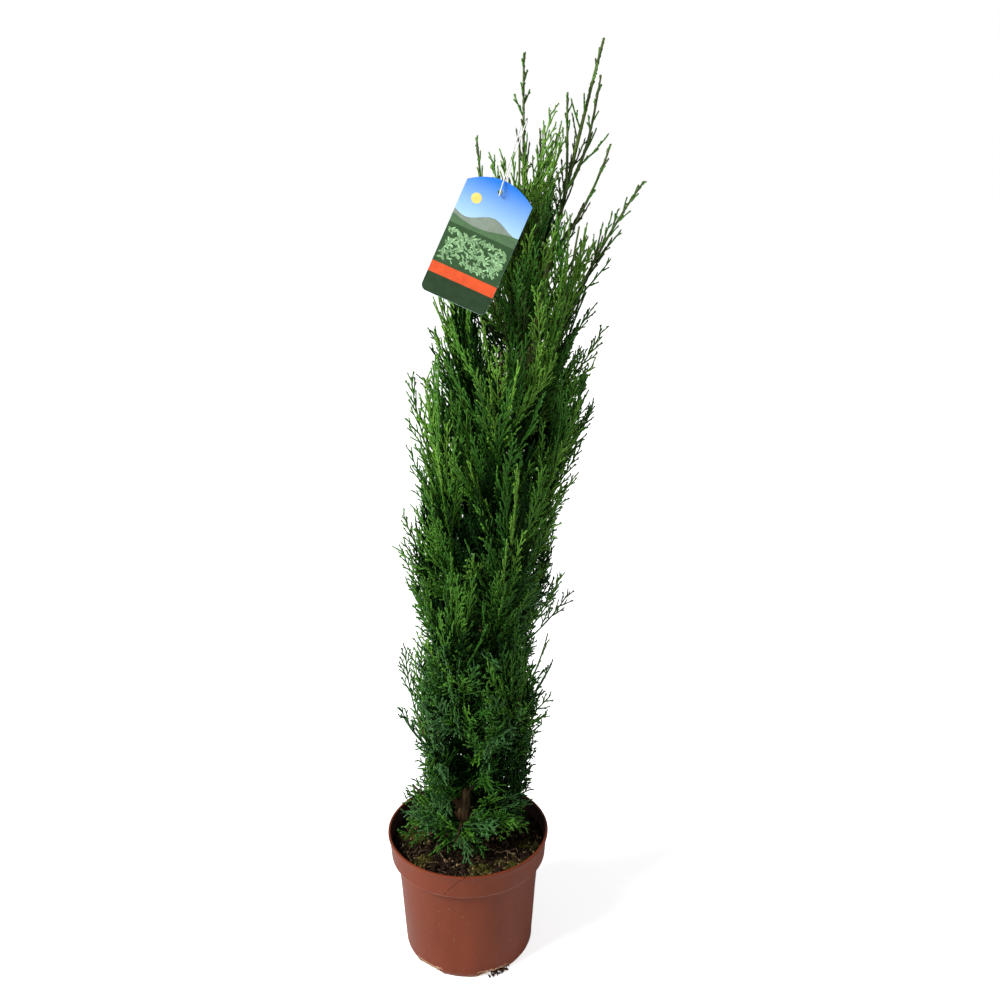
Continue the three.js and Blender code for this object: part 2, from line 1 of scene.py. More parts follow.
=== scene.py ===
"""The looks of a young potted cypress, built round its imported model.

Lengths are in metres and +Z is up. The origin is the centre of the pot's underside, +X is the
side the leader leans to, and -Y is the side where the hang tag hangs.
"""

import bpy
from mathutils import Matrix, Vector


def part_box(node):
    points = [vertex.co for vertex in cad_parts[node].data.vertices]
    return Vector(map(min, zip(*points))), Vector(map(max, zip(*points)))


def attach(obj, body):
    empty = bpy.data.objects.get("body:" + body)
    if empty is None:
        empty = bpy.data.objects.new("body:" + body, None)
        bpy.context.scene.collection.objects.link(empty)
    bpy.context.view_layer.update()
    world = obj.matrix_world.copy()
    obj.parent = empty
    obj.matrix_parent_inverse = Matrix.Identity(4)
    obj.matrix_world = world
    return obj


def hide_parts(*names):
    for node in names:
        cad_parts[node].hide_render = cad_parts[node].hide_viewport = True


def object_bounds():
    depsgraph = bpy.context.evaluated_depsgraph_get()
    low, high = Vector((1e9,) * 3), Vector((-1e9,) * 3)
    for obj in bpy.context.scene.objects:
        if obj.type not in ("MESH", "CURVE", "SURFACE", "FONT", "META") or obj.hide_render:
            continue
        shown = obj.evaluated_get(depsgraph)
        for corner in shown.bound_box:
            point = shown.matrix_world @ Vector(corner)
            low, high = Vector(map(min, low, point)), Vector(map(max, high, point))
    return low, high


bl_info = {
    "name": "Potted Cypress",
    "version": (1, 0, 0),
    "blender": (4, 5, 0),
    "location": "3D View > Sidebar > Cypress",
    "description": "Pot, peat, bark, foliage and hang tag of a young potted cypress",
    "category": "Object",
}

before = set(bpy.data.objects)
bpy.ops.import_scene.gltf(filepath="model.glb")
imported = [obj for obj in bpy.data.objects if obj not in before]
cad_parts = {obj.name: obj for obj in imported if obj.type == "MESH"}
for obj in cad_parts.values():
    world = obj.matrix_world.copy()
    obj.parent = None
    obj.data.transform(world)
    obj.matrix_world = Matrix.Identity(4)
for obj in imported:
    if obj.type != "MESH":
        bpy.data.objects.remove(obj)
CAD_BOX = [list(corner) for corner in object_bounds()]

import math
import random
from dataclasses import dataclass

import bmesh
import bpy
import numpy as np
from bpy.props import FloatProperty, FloatVectorProperty, IntProperty, PointerProperty
from mathutils import Matrix, Vector, noise

# ---------------- the plant's own sizes

GAP, WALL = 0.0003, 0.002
RIM_RADIUS, _, POT_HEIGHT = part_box("pot")[1]
BAND_FOOT = POT_HEIGHT - 0.030
FOOT_RADIUS, BASE_RADIUS = RIM_RADIUS - 0.0186, RIM_RADIUS - 0.022
SHOULDER_RADIUS, BAND_RADIUS = RIM_RADIUS - 0.0106, RIM_RADIUS - 0.0036
SOIL_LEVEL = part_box("trunk")[0].z - GAP
TRUNK_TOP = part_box("trunk")[1].z

TRUNK_FOOT_X, TRUNK_LEAN, TRUNK_BEND, TRUNK_SWAY = -0.007, 0.067, 0.109, 0.003
TRUNK_FOOT_RADIUS, TRUNK_TIP_RADIUS = 0.0076, 0.0012
FLARE_RADIUS, FLARE_HEIGHT = 0.004, 0.011
TRUNK_SIDES, TRUNK_RINGS, TRUNK_ROOT = 36, 300, 0.004

CROWN_AXIS_LEAN, CROWN_AXIS_BEND = 0.02, 0.107
CROWN_FOOT_REACH, CROWN_REACH, CROWN_CLOSE = 0.068, 0.090, 0.86
CROWN_FULL_HEIGHT, CROWN_SHOULDER, CROWN_TOP = 0.420, 0.850, 1.005

BOUGHS = 17
BOUGH_FOOT, BOUGH_HEAD = 0.176, 0.690
BOUGH_RISE_FOOT, BOUGH_RISE_HEAD = 0.125, 0.235
BOUGH_FIRST_AZIMUTH = math.radians(-172)
BOUGH_TIP_SHARE = 0.73
GOLDEN_ANGLE = math.pi * (3 - math.sqrt(5))
STEM_TIP_RADIUS, GREEN_STEM_HEIGHT = 0.0009, 0.52

TAG_CENTRE = Vector((0.018, -0.069, 0.833))
TAG_LEAN_BACK, TAG_TILT = math.radians(14), math.radians(24)
TAG_WIDTH, TAG_HEIGHT, TAG_TOP_ARC = 0.066, 0.122, 0.012
TAG_HOLE_Y = TAG_HEIGHT / 2 - 0.011
CARD_HALF, HOLE_RADIUS, ELASTIC_RADIUS = 0.0004, 0.0025, 0.00055

FLOOR_RADIUS, PLANT_MIDDLE = 14, Vector((0.03, 0, 0.5))

UP = np.array([0.0, 0.0, 1.0])


@dataclass
class Growth:
    """How a limb grows: the bare share of it, how many shoots it has, their size, how much
    shorter the last ones are, and the length of the one at its tip. A free limb may leave the
    crown. sparse is 1 where the twigs stand apart, bold and knobbly."""

    bough_share: float
    shoots: int
    shoot_size: float
    taper: float
    tip_shoot: float
    free: bool
    sparse: float


SKIRT_GROWTH = Growth(0.22, 34, 0.78, 0.2, 0.032, False, 0.0)
SPIRAL_GROWTH = Growth(0.27, 52, 1.0, 0.3, 0.066, False, 0.0)
LEADER_GROWTH = Growth(0.22, 20, 0.60, 0.80, 0.075, True, 1.0)
TIP_GROWTH = Growth(0.0, 4, 0.34, 0.5, 0.058, True, 1.0)

# name, height of the foot on the trunk, tip
SKIRT = [
    ("skirt_left", 0.160, (-0.066, 0.010, 0.205)), ("skirt_front", 0.158, (-0.010, -0.052, 0.180)),
    ("skirt_right", 0.162, (0.066, -0.014, 0.210)), ("skirt_back", 0.166, (0.002, 0.066, 0.215)),
]
LEADERS = [
    ("second_leader", 0.660, (0.060, -0.030, 1.000)),
    ("right_leader", 0.640, (0.179, -0.004, 0.888)),
    ("left_leader", 0.700, (0.015, 0.006, 0.929)),
]
TIP_SHOOTS = [
    ("tip_left", 0.858, (0.102, -0.012, 0.968)), ("tip_right", 0.880, (0.135, 0.008, 0.985)),
    ("tip_front", 0.815, (0.143, -0.022, 0.921)), ("tip_back", 0.800, (0.078, 0.026, 0.936)),
]
# how far outwards a limb leaves the trunk and arrives at its tip, as shares
LEANING, LEANING_FAR = (0.85, 0.55), {"right_leader": (0.45, 1.44)}


# ---------------- small helpers


def smoothstep(value, low, high):
    share = np.clip((value - low) / (high - low), 0, 1)
    return share * share * (3 - 2 * share)


def blend(low, high, share):
    return low + (high - low) * share


def unit(vectors):
    return vectors / np.maximum(np.linalg.norm(vectors, axis=-1, keepdims=True), 1e-12)


def polar(radius, turn, z=0.0):
    return radius * math.cos(turn), radius * math.sin(turn), z


def shade(color, share, lift=0.0):
    return [min(1.0, c * share + lift) for c in color]


def place_object(name, data, location=(0, 0, 0), rotation=(0, 0, 0)):
    placed = bpy.data.objects.new(name, data)
    placed.location, placed.rotation_euler = location, rotation
    bpy.context.scene.collection.objects.link(placed)
    return placed


def mesh_from(bm, name, smooth=True):
    """Closes the bmesh and gives its mesh, with its faces turned outwards."""
    bmesh.ops.recalc_face_normals(bm, faces=bm.faces)
    mesh = bpy.data.meshes.new(name)
    bm.to_mesh(mesh)
    bm.free()
    if smooth:
        mesh.shade_smooth()
    return mesh


def mesh_from_arrays(name, points, triangles):
    """A mesh of many small things joined."""
    mesh = bpy.data.meshes.new(name)
    mesh.vertices.add(len(points))
    mesh.vertices.foreach_set("co", np.asarray(points, np.float32).ravel())
    mesh.loops.add(len(triangles) * 3)
    mesh.loops.foreach_set("vertex_index", np.asarray(triangles, np.int32).ravel())
    mesh.polygons.add(len(triangles))
    mesh.polygons.foreach_set("loop_start", np.arange(0, len(triangles) * 3, 3, dtype=np.int32))
    mesh.update(calc_edges=True)
    mesh.shade_smooth()
    return mesh


def finish_piece(name, shape, materials, replaced=(), smooth=True):
    """Makes a bmesh, or points and triangles, a piece that rides on the plant's only body."""
    is_bmesh = isinstance(shape, bmesh.types.BMesh)
    mesh = mesh_from(shape, name, smooth) if is_bmesh else mesh_from_arrays(name, *shape)
    for material in materials:
        mesh.materials.append(material)
    piece = place_object(name, mesh)
    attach(piece, "root")
    if replaced:
        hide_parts(*replaced)
    return piece


def numbered(triangles, count, size):
    """The triangles of many copies of a shape that has size points."""
    return (triangles[None] + (np.arange(count) * size)[:, None, None]).reshape(-1, 3)


def joined(parts):
    """Points and triangles of several (points, triangles), as one."""
    points, triangles, shift = [], [], 0
    for some, faces in parts:
        points.append(some)
        triangles.append(faces + shift)
        shift += len(some)
    return np.concatenate(points), np.concatenate(triangles)


def skin(bm, rows, closed=False):
    """Lays faces between following rows of vertices."""
    for low, high in zip(rows, rows[1:]):
        for k in range(len(low) if closed else len(low) - 1):
            n = (k + 1) % len(low)
            bm.faces.new((low[k], high[k], high[n], low[n]))


def grow_rim(bm, edges):
    """Extrudes an open rim, and gives its new edges."""
    grown = bmesh.ops.extrude_edge_only(bm, edges=edges)["geom"]
    return [e for e in grown if isinstance(e, bmesh.types.BMEdge) and len(e.link_faces) == 1]


def push_faces(bm, faces, way):
    """Extrudes faces and moves them, and gives the moved vertices."""
    made = bmesh.ops.extrude_face_region(bm, geom=faces)["geom"]
    moved = [item for item in made if isinstance(item, bmesh.types.BMVert)]
    bmesh.ops.translate(bm, verts=moved, vec=way)
    return moved


def grow_tube(bm, path, radii, sides, closed=False):
    """A tube along a path, ring by ring, with its ends capped or joined."""
    path, rings = [Vector(point) for point in path], []
    along_x = abs((path[1] - path[0]).normalized().x) > 0.9
    side = Vector((0, 0, 1) if closed else (0, 1, 0) if along_x else (1, 0, 0))
    whole = path[-1:] + path + path[:1] if closed else path[:1] + path + path[-1:]
    for i, centre in enumerate(path):
        ahead = (whole[i + 2] - whole[i]).normalized()
        side = (side - ahead * side.dot(ahead)).normalized()
        across = ahead.cross(side)
        rings.append(bmesh.ops.create_circle(bm, segments=sides, radius=1)["verts"])
        for k, vert in enumerate(rings[-1]):
            x, y, _ = polar(radii[i], 2 * math.pi * k / sides)
            vert.co = centre + side * x + across * y
    skin(bm, rings, closed=True)
    ends = [
        list(dict.fromkeys(edge for vert in ring for edge in vert.link_edges if edge.is_boundary))
        for ring in (rings[0], rings[-1])
    ]
    if closed:
        bmesh.ops.bridge_loops(bm, edges=ends[0] + ends[1])
    for loop in () if closed else ends:
        bmesh.ops.triangulate(bm, faces=bmesh.ops.contextual_create(bm, geom=loop)["faces"])


# ---------------- shader groups and materials


def feed(tree, socket, value):
    """Links a value that is a socket, and sets any other."""
    if isinstance(value, bpy.types.NodeSocket):
        tree.links.new(value, socket)
    else:
        socket.default_value = (*value[:3], 1) if socket.type == "RGBA" else value


def add_node(tree, kind, *sources, **values):
    """A shader node, whose sockets are fed in order or by name, with _ for a space."""
    node = tree.nodes.new("ShaderNode" + kind)
    for setting in ("operation", "data_type", "node_tree", "uv_map"):
        if setting in values:
            setattr(node, setting, values.pop(setting))
    for key, value in [*enumerate(sources), *values.items()]:
        feed(tree, node.inputs[key.replace("_", " ") if isinstance(key, str) else key], value)
    return node


def math_node(tree, operation, *sources, kind="Math"):
    return add_node(tree, kind, *sources, operation=operation).outputs[0]


def spread(tree, value, **ends):
    return add_node(tree, "MapRange", Value=value, **ends).outputs["Result"]


def mix_colors(tree, share, low, high):
    mix = add_node(tree, "Mix", data_type="RGBA", Factor=share, A=low, B=high)
    return mix.outputs["Result"]


def object_place(tree):
    return add_node(tree, "TexCoord").outputs["Object"]


def start_group(name, **inputs):
    """A shader group with its sockets, which puts out a colour and a mask."""
    group = bpy.data.node_groups.new(name, "ShaderNodeTree")
    for label, value in inputs.items():
        length = len(value) if isinstance(value, tuple) else 1
        kind = {1: "NodeSocketFloat", 3: "NodeSocketVector", 4: "NodeSocketColor"}[length]
        socket = group.interface.new_socket(label, in_out="INPUT", socket_type=kind)
        socket.default_value = value
    group.interface.new_socket("Color", in_out="OUTPUT", socket_type="NodeSocketColor")
    group.interface.new_socket("Mask", in_out="OUTPUT", socket_type="NodeSocketFloat")
    return group, group.nodes.new("NodeGroupInput").outputs


def end_group(group, color, mask):
    sink = group.nodes.new("NodeGroupOutput")
    feed(group, sink.inputs["Color"], color)
    feed(group, sink.inputs["Mask"], mask)
    return group


def mottle_group():
    """Two colours in soft patches. Stretch squeezes the patches along an axis."""
    group, given = start_group(
        "mottle", Light=(1, 1, 1, 1), Dark=(0, 0, 0, 1), Scale=100.0, Stretch=(1, 1, 1), Low=0.35,
        High=0.65,
    )
    place = math_node(group, "MULTIPLY", object_place(group), given["Stretch"], kind="VectorMath")
    cloud = add_node(group, "TexNoise", Vector=place, Scale=given["Scale"], Detail=5)
    mask = spread(group, cloud.outputs["Fac"], From_Min=given["Low"], From_Max=given["High"])
    return end_group(group, mix_colors(group, mask, given["Dark"], given["Light"]), mask)


def dust_group():
    """Dust that has settled low down: it thins out towards the height Top."""
    group, given = start_group(
        "settled_dust", Color=(1, 1, 1, 1), Dust=(0.5, 0.4, 0.3, 1), Foot=0.0, Top=0.01,
        Scale=200.0, Amount=1.0,
    )
    place = object_place(group)
    height = add_node(group, "SeparateXYZ", place).outputs["Z"]
    low_down = spread(
        group, height, From_Min=given["Foot"], From_Max=given["Top"], To_Min=1, To_Max=0
    )
    cloud = add_node(group, "TexNoise", Vector=place, Scale=given["Scale"], Detail=6)
    sharp = spread(group, cloud.outputs["Fac"], From_Min=0.42, From_Max=0.6)
    both = math_node(group, "MULTIPLY", low_down, sharp)
    mask = math_node(group, "MULTIPLY", both, given["Amount"])
    return end_group(group, mix_colors(group, mask, given["Color"], given["Dust"]), mask)


GROUPS = {"mottle": mottle_group, "settled_dust": dust_group}


def place_group(material, name, **values):
    """Puts a shared group, built once, into a material, and gives its outputs."""
    group = bpy.data.node_groups.get(name) or GROUPS[name]()
    return add_node(material.node_tree, "Group", node_tree=group, **values).outputs


def dress(material, **values):
    """Feeds sockets of the material's shader."""
    tree = material.node_tree
    for label, value in values.items():
        feed(tree, tree.nodes["Principled BSDF"].inputs[label.replace("_", " ")], value)


def start_material(name, color, roughness, **values):
    material = bpy.data.materials.new(name)
    material.use_nodes = True
    dress(material, Base_Color=color, Roughness=roughness, **values)
    return material


def add_bump(material, height, strength, distance):
    bump = add_node(
        material.node_tree, "Bump", Strength=strength, Distance=distance, Height=height
    )
    dress(material, Normal=bump.outputs["Normal"])


def mottled_material(
    name, light, dark, scale, roughness, stretch=(1, 1, 1), bump=0.0, depth=0.0005, gloss=0.5,
    **values
):
    """Most of the plant's surfaces: two colours in patches, with a relief to match."""
    material = start_material(name, light, roughness, Specular_IOR_Level=gloss, **values)
    patches = place_group(
        material, "mottle", Light=light, Dark=dark, Scale=scale, Stretch=stretch
    )
    dress(material, Base_Color=patches["Color"])
    if bump:
        add_bump(material, patches["Mask"], bump, depth)
    return material


def shaded_material(name, color, light, dark, scale, roughness, **look):
    """A mottled material in a light and a dark shade of one colour."""
    shades = shade(color, light), shade(color, dark)
    return mottled_material(name, *shades, scale, roughness, **look)


# ---------------- what a user may change


def tint(name, description, default):
    return FloatVectorProperty(
        name=name, description=description, default=default, subtype="COLOR", size=3, min=0, max=1
    )


def length(name, description, default):
    return FloatProperty(name=name, description=description, default=default, unit="LENGTH")


def number(name, description, default):
    return FloatProperty(name=name, description=description, default=default)


def count(name, description, default, least=0):
    return IntProperty(name=name, description=description, default=default, min=least)


class PotSettings(bpy.types.PropertyGroup):
    """The plastic nursery pot."""

    color: tint("Plastic", "Colour of the pot's plastic", (0.178, 0.032, 0.009))
    # painted shade: the inside wall and the crack are coloured darker than the plastic for the
    # shade in them
    inner_shade_color: tint("Inside", "Colour of the damp inner wall", (0.060, 0.016, 0.012))
    dust_color: tint("Dust", "Sandy dust at the foot of the pot", (0.50, 0.36, 0.22))
    facets: count("Facets", "Facets round the pot", 144, 24)
    notch_width: length("Notch width", "Width of a drainage notch", 0.040)
    notch_height: length("Notch height", "Height of a drainage notch", 0.0070)


class SoilSettings(bpy.types.PropertyGroup):
    """The peat that fills the pot, and what lies and grows on it."""

    peat_color: tint("Peat", "Colour of the peat", (0.018, 0.0095, 0.005))
    moss_color: tint("Moss", "Colour of the moss", (0.150, 0.140, 0.026))
    straw_color: tint("Straw", "Colour of straw and roots", (0.300, 0.190, 0.085))
    crumbs: count("Crumbs", "Lumps of peat on the top", 2600)
    tufts: count("Tufts", "Tufts of moss", 2300)
    strands: count("Strands", "Pieces of straw and root", 190)


class WoodSettings(bpy.types.PropertyGroup):
    """Trunk, boughs and stems."""

    bark_light: tint("Bark ridges", "Colour of the bark's ridges", (0.200, 0.112, 0.044))
    bark_dark: tint("Bark furrows", "Colour of the bark's furrows", (0.022, 0.011, 0.005))
    young_color: tint("Young bark", "Red-brown bark of the boughs", (0.085, 0.038, 0.012))
    green_color: tint("Green stem", "Olive skin of the leaders", (0.090, 0.150, 0.016))
    relief: length("Relief", "Depth of the bark's furrows at the foot", 0.0007)


class FoliageSettings(bpy.types.PropertyGroup):
    """The scale-leaved shoots."""

    seed: count("Seed", "Seed of the growth rule", 20)
    twig_radius: length("Twig radius", "Radius of a scale-leaved twig", 0.00070)
    # painted shade and light: these colours are dealt by how lit a shoot ranks, darkest deep in the
    # crown
    shade_color: tint("Shade", "Shoots deep in the crown", (0.0045, 0.024, 0.0026))
    middle_color: tint("Middle", "Most shoots", (0.030, 0.122, 0.008))
    fresh_color: tint("Fresh", "Shoots in the light", (0.066, 0.200, 0.015))
    # painted light: the bright colour goes to the shoots ranked most lit, not by their age
    bright_color: tint("Bright", "This year's shoots", (0.116, 0.272, 0.026))
    # partly painted light: the low fans' grey-green bloom, dealt to the low fans ranked most lit
    bloom_color: tint("Bloom", "Grey-green fans low on the crown", (0.046, 0.140, 0.034))
    olive_color: tint("Olive", "Shoots on the bare leaders", (0.044, 0.074, 0.014))


class TagSettings(bpy.types.PropertyGroup):
    """The printed hang tag and its elastic loop."""

    sky_high: tint("Upper sky", "Print at the top of the tag", (0.020, 0.200, 0.800))
    sky_low: tint("Lower sky", "Print above the hills", (0.450, 0.700, 0.900))
    hill_color: tint("Hills", "Printed hills", (0.060, 0.160, 0.050))
    band_color: tint("Band", "Plain printed band", (0.750, 0.090, 0.020))
    leaf_color: tint("Leaves", "Printed leaves", (0.240, 0.420, 0.200))
    print_lift: length("Print lift", "How far a printed shape stands proud", 0.00004)


class StageSettings(bpy.types.PropertyGroup):
    """Floor, light and camera."""

    floor_color: tint("Floor", "Colour of the pale floor", (0.88, 0.88, 0.87))
    floor_glow: number("Floor glow", "Lifts the floor to white", 0.72)
    key_power: number("Key light", "Power of the soft key light", 94)
    fill_power: number("Fill light", "Power of the fill light", 7)
    sky_strength: number("Room light", "Light from all round", 0.26)
    camera_x: length("Camera X", "Camera's place across", 0.038)
    camera_y: length("Camera Y", "Camera's place before the plant", -1.0293)
    camera_z: length("Camera Z", "Camera's height", 0.8743)
    camera_pitch: FloatProperty(
        name="Pitch", description="How far the camera looks down", default=math.radians(16.93),
        subtype="ANGLE",
    )
    lens: FloatProperty(name="Lens", description="Focal length", default=36, unit="CAMERA")


# ---------------- pot

# the wall's outline, round from the axis underneath to the axis inside: runs of radii and
# heights in millimetres, each run from its own radius and height
POT_PROFILE = [
    (0, 0, [(0, 0), (47.8, 0), (48.2, 0.4), (51, 5.6), (51.8, 6)]),
    (BASE_RADIUS, 0, [(-5.4, 6), (-4.8, 5.5), (-3.6, 0.4), (-3.2, 0), (-0.6, 0), (-0.1, 0.4)]),
    (FOOT_RADIUS, 0, [(-0.9, 4.6), (-0.2, 6.8), (0, 10), (1.8, 36), (4.4, 79)]),
    (SHOULDER_RADIUS, BAND_FOOT, [(-0.5, -6), (0, -1.8), (0.6, -0.8), (1.8, -0.4)]),
    (BAND_RADIUS, BAND_FOOT, [(-1.2, -0.3), (-0.3, 0), (0.1, 0.6), (0.2, 1.4)]),
    (RIM_RADIUS, POT_HEIGHT, [
        (-2.2, -12.8), (-1.5, -4), (-1.3, -3.4), (-0.2, -3.1), (0, -2.6), (0, -0.8),
        (-0.3, -0.2), (-1, 0), (-2, 0), (-2.6, -0.4), (-2.9, -1.2),
    ]),
    (BAND_RADIUS - WALL, BAND_FOOT, [(0, 2.5), (-1, 1)]),
    (SHOULDER_RADIUS - WALL, BAND_FOOT, [(0.4, -0.6), (0, -2)]),
    (FOOT_RADIUS - WALL, 0, [(0, 11), (-2, 8.4)]),
    (0, 0, [(53, 8.4), (50, 2.4), (0, 2.4)]),
]

NOTCHES, NOTCH_POINTS = 6, 23
NOTCH_AZIMUTH = math.radians(-66)
# how far the torn flash runs on along the foot, left of each notch
FLASH_TAILS = (0.012, 0.003, 0.002, 0.005, 0.002, 0.004)
# heights of the wall's foot, and how far in from the rim it is there
FOOT_HEIGHTS = (0.0, 0.0046, 0.0068, 0.0100, 0.0200)
FOOT_INSETS = (0.0220, 0.0195, 0.0188, 0.0186, 0.0179)
FLASH_FOOT, FLASH_THICKNESS = 0.0004, 0.0009
# how far in from the rim a notch's cutter starts, how thick it is, and how far down it goes
NOTCH_INSET, NOTCH_THROUGH, NOTCH_BELOW = 0.031, 0.022, -0.004
CRACK_STEPS, CRACK_FROM, CRACK_TO = 14, -88.9, -106.5
CRACK_HALF, CRACK_OUT, CRACK_IN = 0.00040, 0.0016, -0.0010
SHARP_ANGLE = math.radians(38)


def notches(settings):
    """Each drainage notch: its turn, and its ragged upper edge as (sideways, up), stepped
    at its ends."""
    shape, half = random.Random(5), settings.notch_width / 2
    for i in range(NOTCHES):
        edge = []
        for k in range(NOTCH_POINTS):
            share = k / (NOTCH_POINTS - 1)
            end = min(share, 1 - share)
            step = 0.12 if end < 0.07 else 0.55 if end < 0.15 else 0.8 if end < 0.24 else 1.0
            edge.append((
                blend(-half, half, share) + shape.uniform(-0.0005, 0.0005),
                settings.notch_height * step + shape.uniform(-0.0005, 0.0005),
            ))
        yield NOTCH_AZIMUTH + 2 * math.pi * i / NOTCHES, edge


def torn_flash(settings):
    """Ragged pale flash along the notches' edges, where the plastic was broken out."""
    bm, ragged = bmesh.new(), random.Random(8)
    for (turn, edge), length in zip(notches(settings), FLASH_TAILS):
        tail = [(edge[0][0] - length * share, FLASH_FOOT) for share in (1, 0.75, 0.5, 0.25)]
        rows = []
        for k, (side, z) in enumerate(tail + edge):
            if k < len(tail) or k == len(tail) + NOTCH_POINTS - 1:
                top = ragged.uniform(0.0012, 0.0034)
            else:
                top = settings.notch_height + ragged.uniform(0.0016, 0.0036)
            row = []
            for height in (max(z - 0.0003, 0.0002), top):
                radius = RIM_RADIUS - np.interp(height, FOOT_HEIGHTS, FOOT_INSETS) + GAP
                row.append(bm.verts.new(polar(radius, turn + side / radius, height)))
            rows.append(row)
        skin(bm, rows)
    bmesh.ops.recalc_face_normals(bm, faces=bm.faces)
    bmesh.ops.solidify(bm, geom=list(bm.faces), thickness=FLASH_THICKNESS)
    return bm


def notch_cutter(settings):
    """The drainage notches at the foot, as one closed cutter."""
    bm, half = bmesh.new(), settings.notch_width / 2
    for turn, edge in notches(settings):
        outline = [(-half, NOTCH_BELOW), *edge, (half, NOTCH_BELOW)]
        corners = [bm.verts.new((RIM_RADIUS - NOTCH_INSET, y, z)) for y, z in outline]
        whole = corners + push_faces(bm, [bm.faces.new(corners)], (NOTCH_THROUGH, 0, 0))
        bmesh.ops.rotate(bm, verts=whole, cent=(0, 0, 0), matrix=Matrix.Rotation(turn, 3, "Z"))
    return mesh_from(bm, "notch_cutter", smooth=False)


def band_radius(z):
    """The band leans out a little towards the lip."""
    return blend(RIM_RADIUS - 0.0034, RIM_RADIUS - 0.0006, (z - BAND_FOOT) / 0.030)


def crack_cutter():
    """A hairline crack that runs from a nick in the lip down across the band."""
    bm, wander, rows = bmesh.new(), random.Random(11), []
    for k in range(CRACK_STEPS + 1):
        share = k / CRACK_STEPS
        azimuth = blend(CRACK_FROM, CRACK_TO, share ** 0.92) + wander.uniform(-0.35, 0.35)
        z = blend(POT_HEIGHT + 0.001, BAND_FOOT + 0.001, share ** 1.15)
        width = CRACK_HALF * (4.5 if k == 0 else 2.6 if k == 1 else 1.0 if k < 11 else 0.6)
        row = []
        for offset, depth in (
            (-width, CRACK_OUT), (-width, CRACK_IN), (width, CRACK_IN), (width, CRACK_OUT)
        ):
            radius = band_radius(z) + depth
            turn = math.radians(azimuth) + offset / radius
            row.append(bm.verts.new(polar(radius, turn, z)))
        rows.append(row)
    bm.faces.new(rows[0])
    bm.faces.new(rows[-1])
    skin(bm, rows, closed=True)
    return mesh_from(bm, "crack_cutter", smooth=False)


def cut_away(piece, cutter_mesh):
    """Cuts the cutter's solid out of the piece, and applies the cut."""
    cutter = place_object(cutter_mesh.name, cutter_mesh)
    cut = piece.modifiers.new("cut", "BOOLEAN")
    cut.operation, cut.solver, cut.object = "DIFFERENCE", "EXACT", cutter
    bpy.context.view_layer.update()
    evaluated = piece.evaluated_get(bpy.context.evaluated_depsgraph_get())
    result, old = bpy.data.meshes.new_from_object(evaluated), piece.data
    piece.modifiers.remove(cut)
    piece.data, result.name = result, old.name
    bpy.data.objects.remove(cutter)
    for mesh in (old, cutter_mesh):
        bpy.data.meshes.remove(mesh)


def pot_materials(settings):
    """The plastic, the inside darkened as painted shade, the torn edges, and the band's foot
    lightened as a painted highlight.
    """
    color, dust = settings.color, settings.dust_color
    plastic = start_material("terracotta_plastic", color, 0.44, Specular_IOR_Level=0.24)
    hue = place_group(
        plastic, "mottle", Light=shade(color, 1.15, 0.003), Dark=shade(color, 0.90), Scale=42.0,
        Stretch=(1, 1, 0.3), Low=0.25, High=0.75,
    )
    grain = place_group(plastic, "mottle", Scale=1500.0, Low=0.3, High=0.7)
    dusty = place_group(
        plastic, "settled_dust", Color=hue["Color"], Dust=dust, Foot=0.0006, Top=0.0085,
        Scale=160.0, Amount=0.2,
    )
    specks = place_group(
        plastic, "mottle", Light=shade(dust, 0.8), Dark=dusty["Color"], Scale=520.0, Low=0.69,
        High=0.76,
    )
    roughness = spread(plastic.node_tree, hue["Mask"], To_Min=0.40, To_Max=0.52)
    dress(plastic, Base_Color=specks["Color"], Roughness=roughness)
    add_bump(plastic, grain["Mask"], 0.10, 0.0002)
    return [
        plastic,
        # painted shade: a dark colour for the shaded inside wall and the crack
        shaded_material("damp_inner_wall", settings.inner_shade_color, 1, 0.45, 60.0, 0.6),
        mottled_material("torn_plastic_edge", dust, (0.30, 0.12, 0.06), 420.0, 0.85, bump=0.6),
        # painted highlight: the band's foot is lighter than the plastic for the light its edge
        # catches
        mottled_material("worn_band_edge", shade(color, 1.3, 0.04), color, 70.0, 0.5),
    ]


def mark_pot_faces(piece):
    """The inside and the crack take a dark finish, a painted shade, the torn notch edges their own
    finish, and the band's foot a light one, a painted highlight."""
    for face in piece.data.polygons:
        centre, normal = face.center, face.normal
        radius, z = math.hypot(centre.x, centre.y), centre.z
        outward = (centre.x * normal.x + centre.y * normal.y) / max(radius, 1e-6)
        edge_on = abs(outward) < 0.5
        inner = outward < -0.2 and POT_HEIGHT - 0.0006 > z > 0.0084 and radius < RIM_RADIUS - 0.0024
        at_notch = 0.0004 < z < 0.0080 and radius > RIM_RADIUS - 0.0315 and edge_on
        on_band = BAND_FOOT + 0.001 < z < POT_HEIGHT - 0.0040
        sunk = outward > 0.5 and radius < band_radius(z) - 0.0006
        # painted highlight: the faces along the band's lower edge take the lighter finish
        band_foot_highlight = outward > 0.05 and BAND_FOOT - 0.0004 < z < BAND_FOOT + 0.0013
        # painted shade: the inner wall and the crack's faces take the dark inner colour
        if inner or on_band and (edge_on or sunk):
            face.material_index = 1
        else:
            face.material_index = 2 if at_notch and normal.z < 0.5 else 3 if band_foot_highlight else 0
    piece.data.shade_smooth()
    piece.data.set_sharp_from_angle(angle=SHARP_ANGLE)


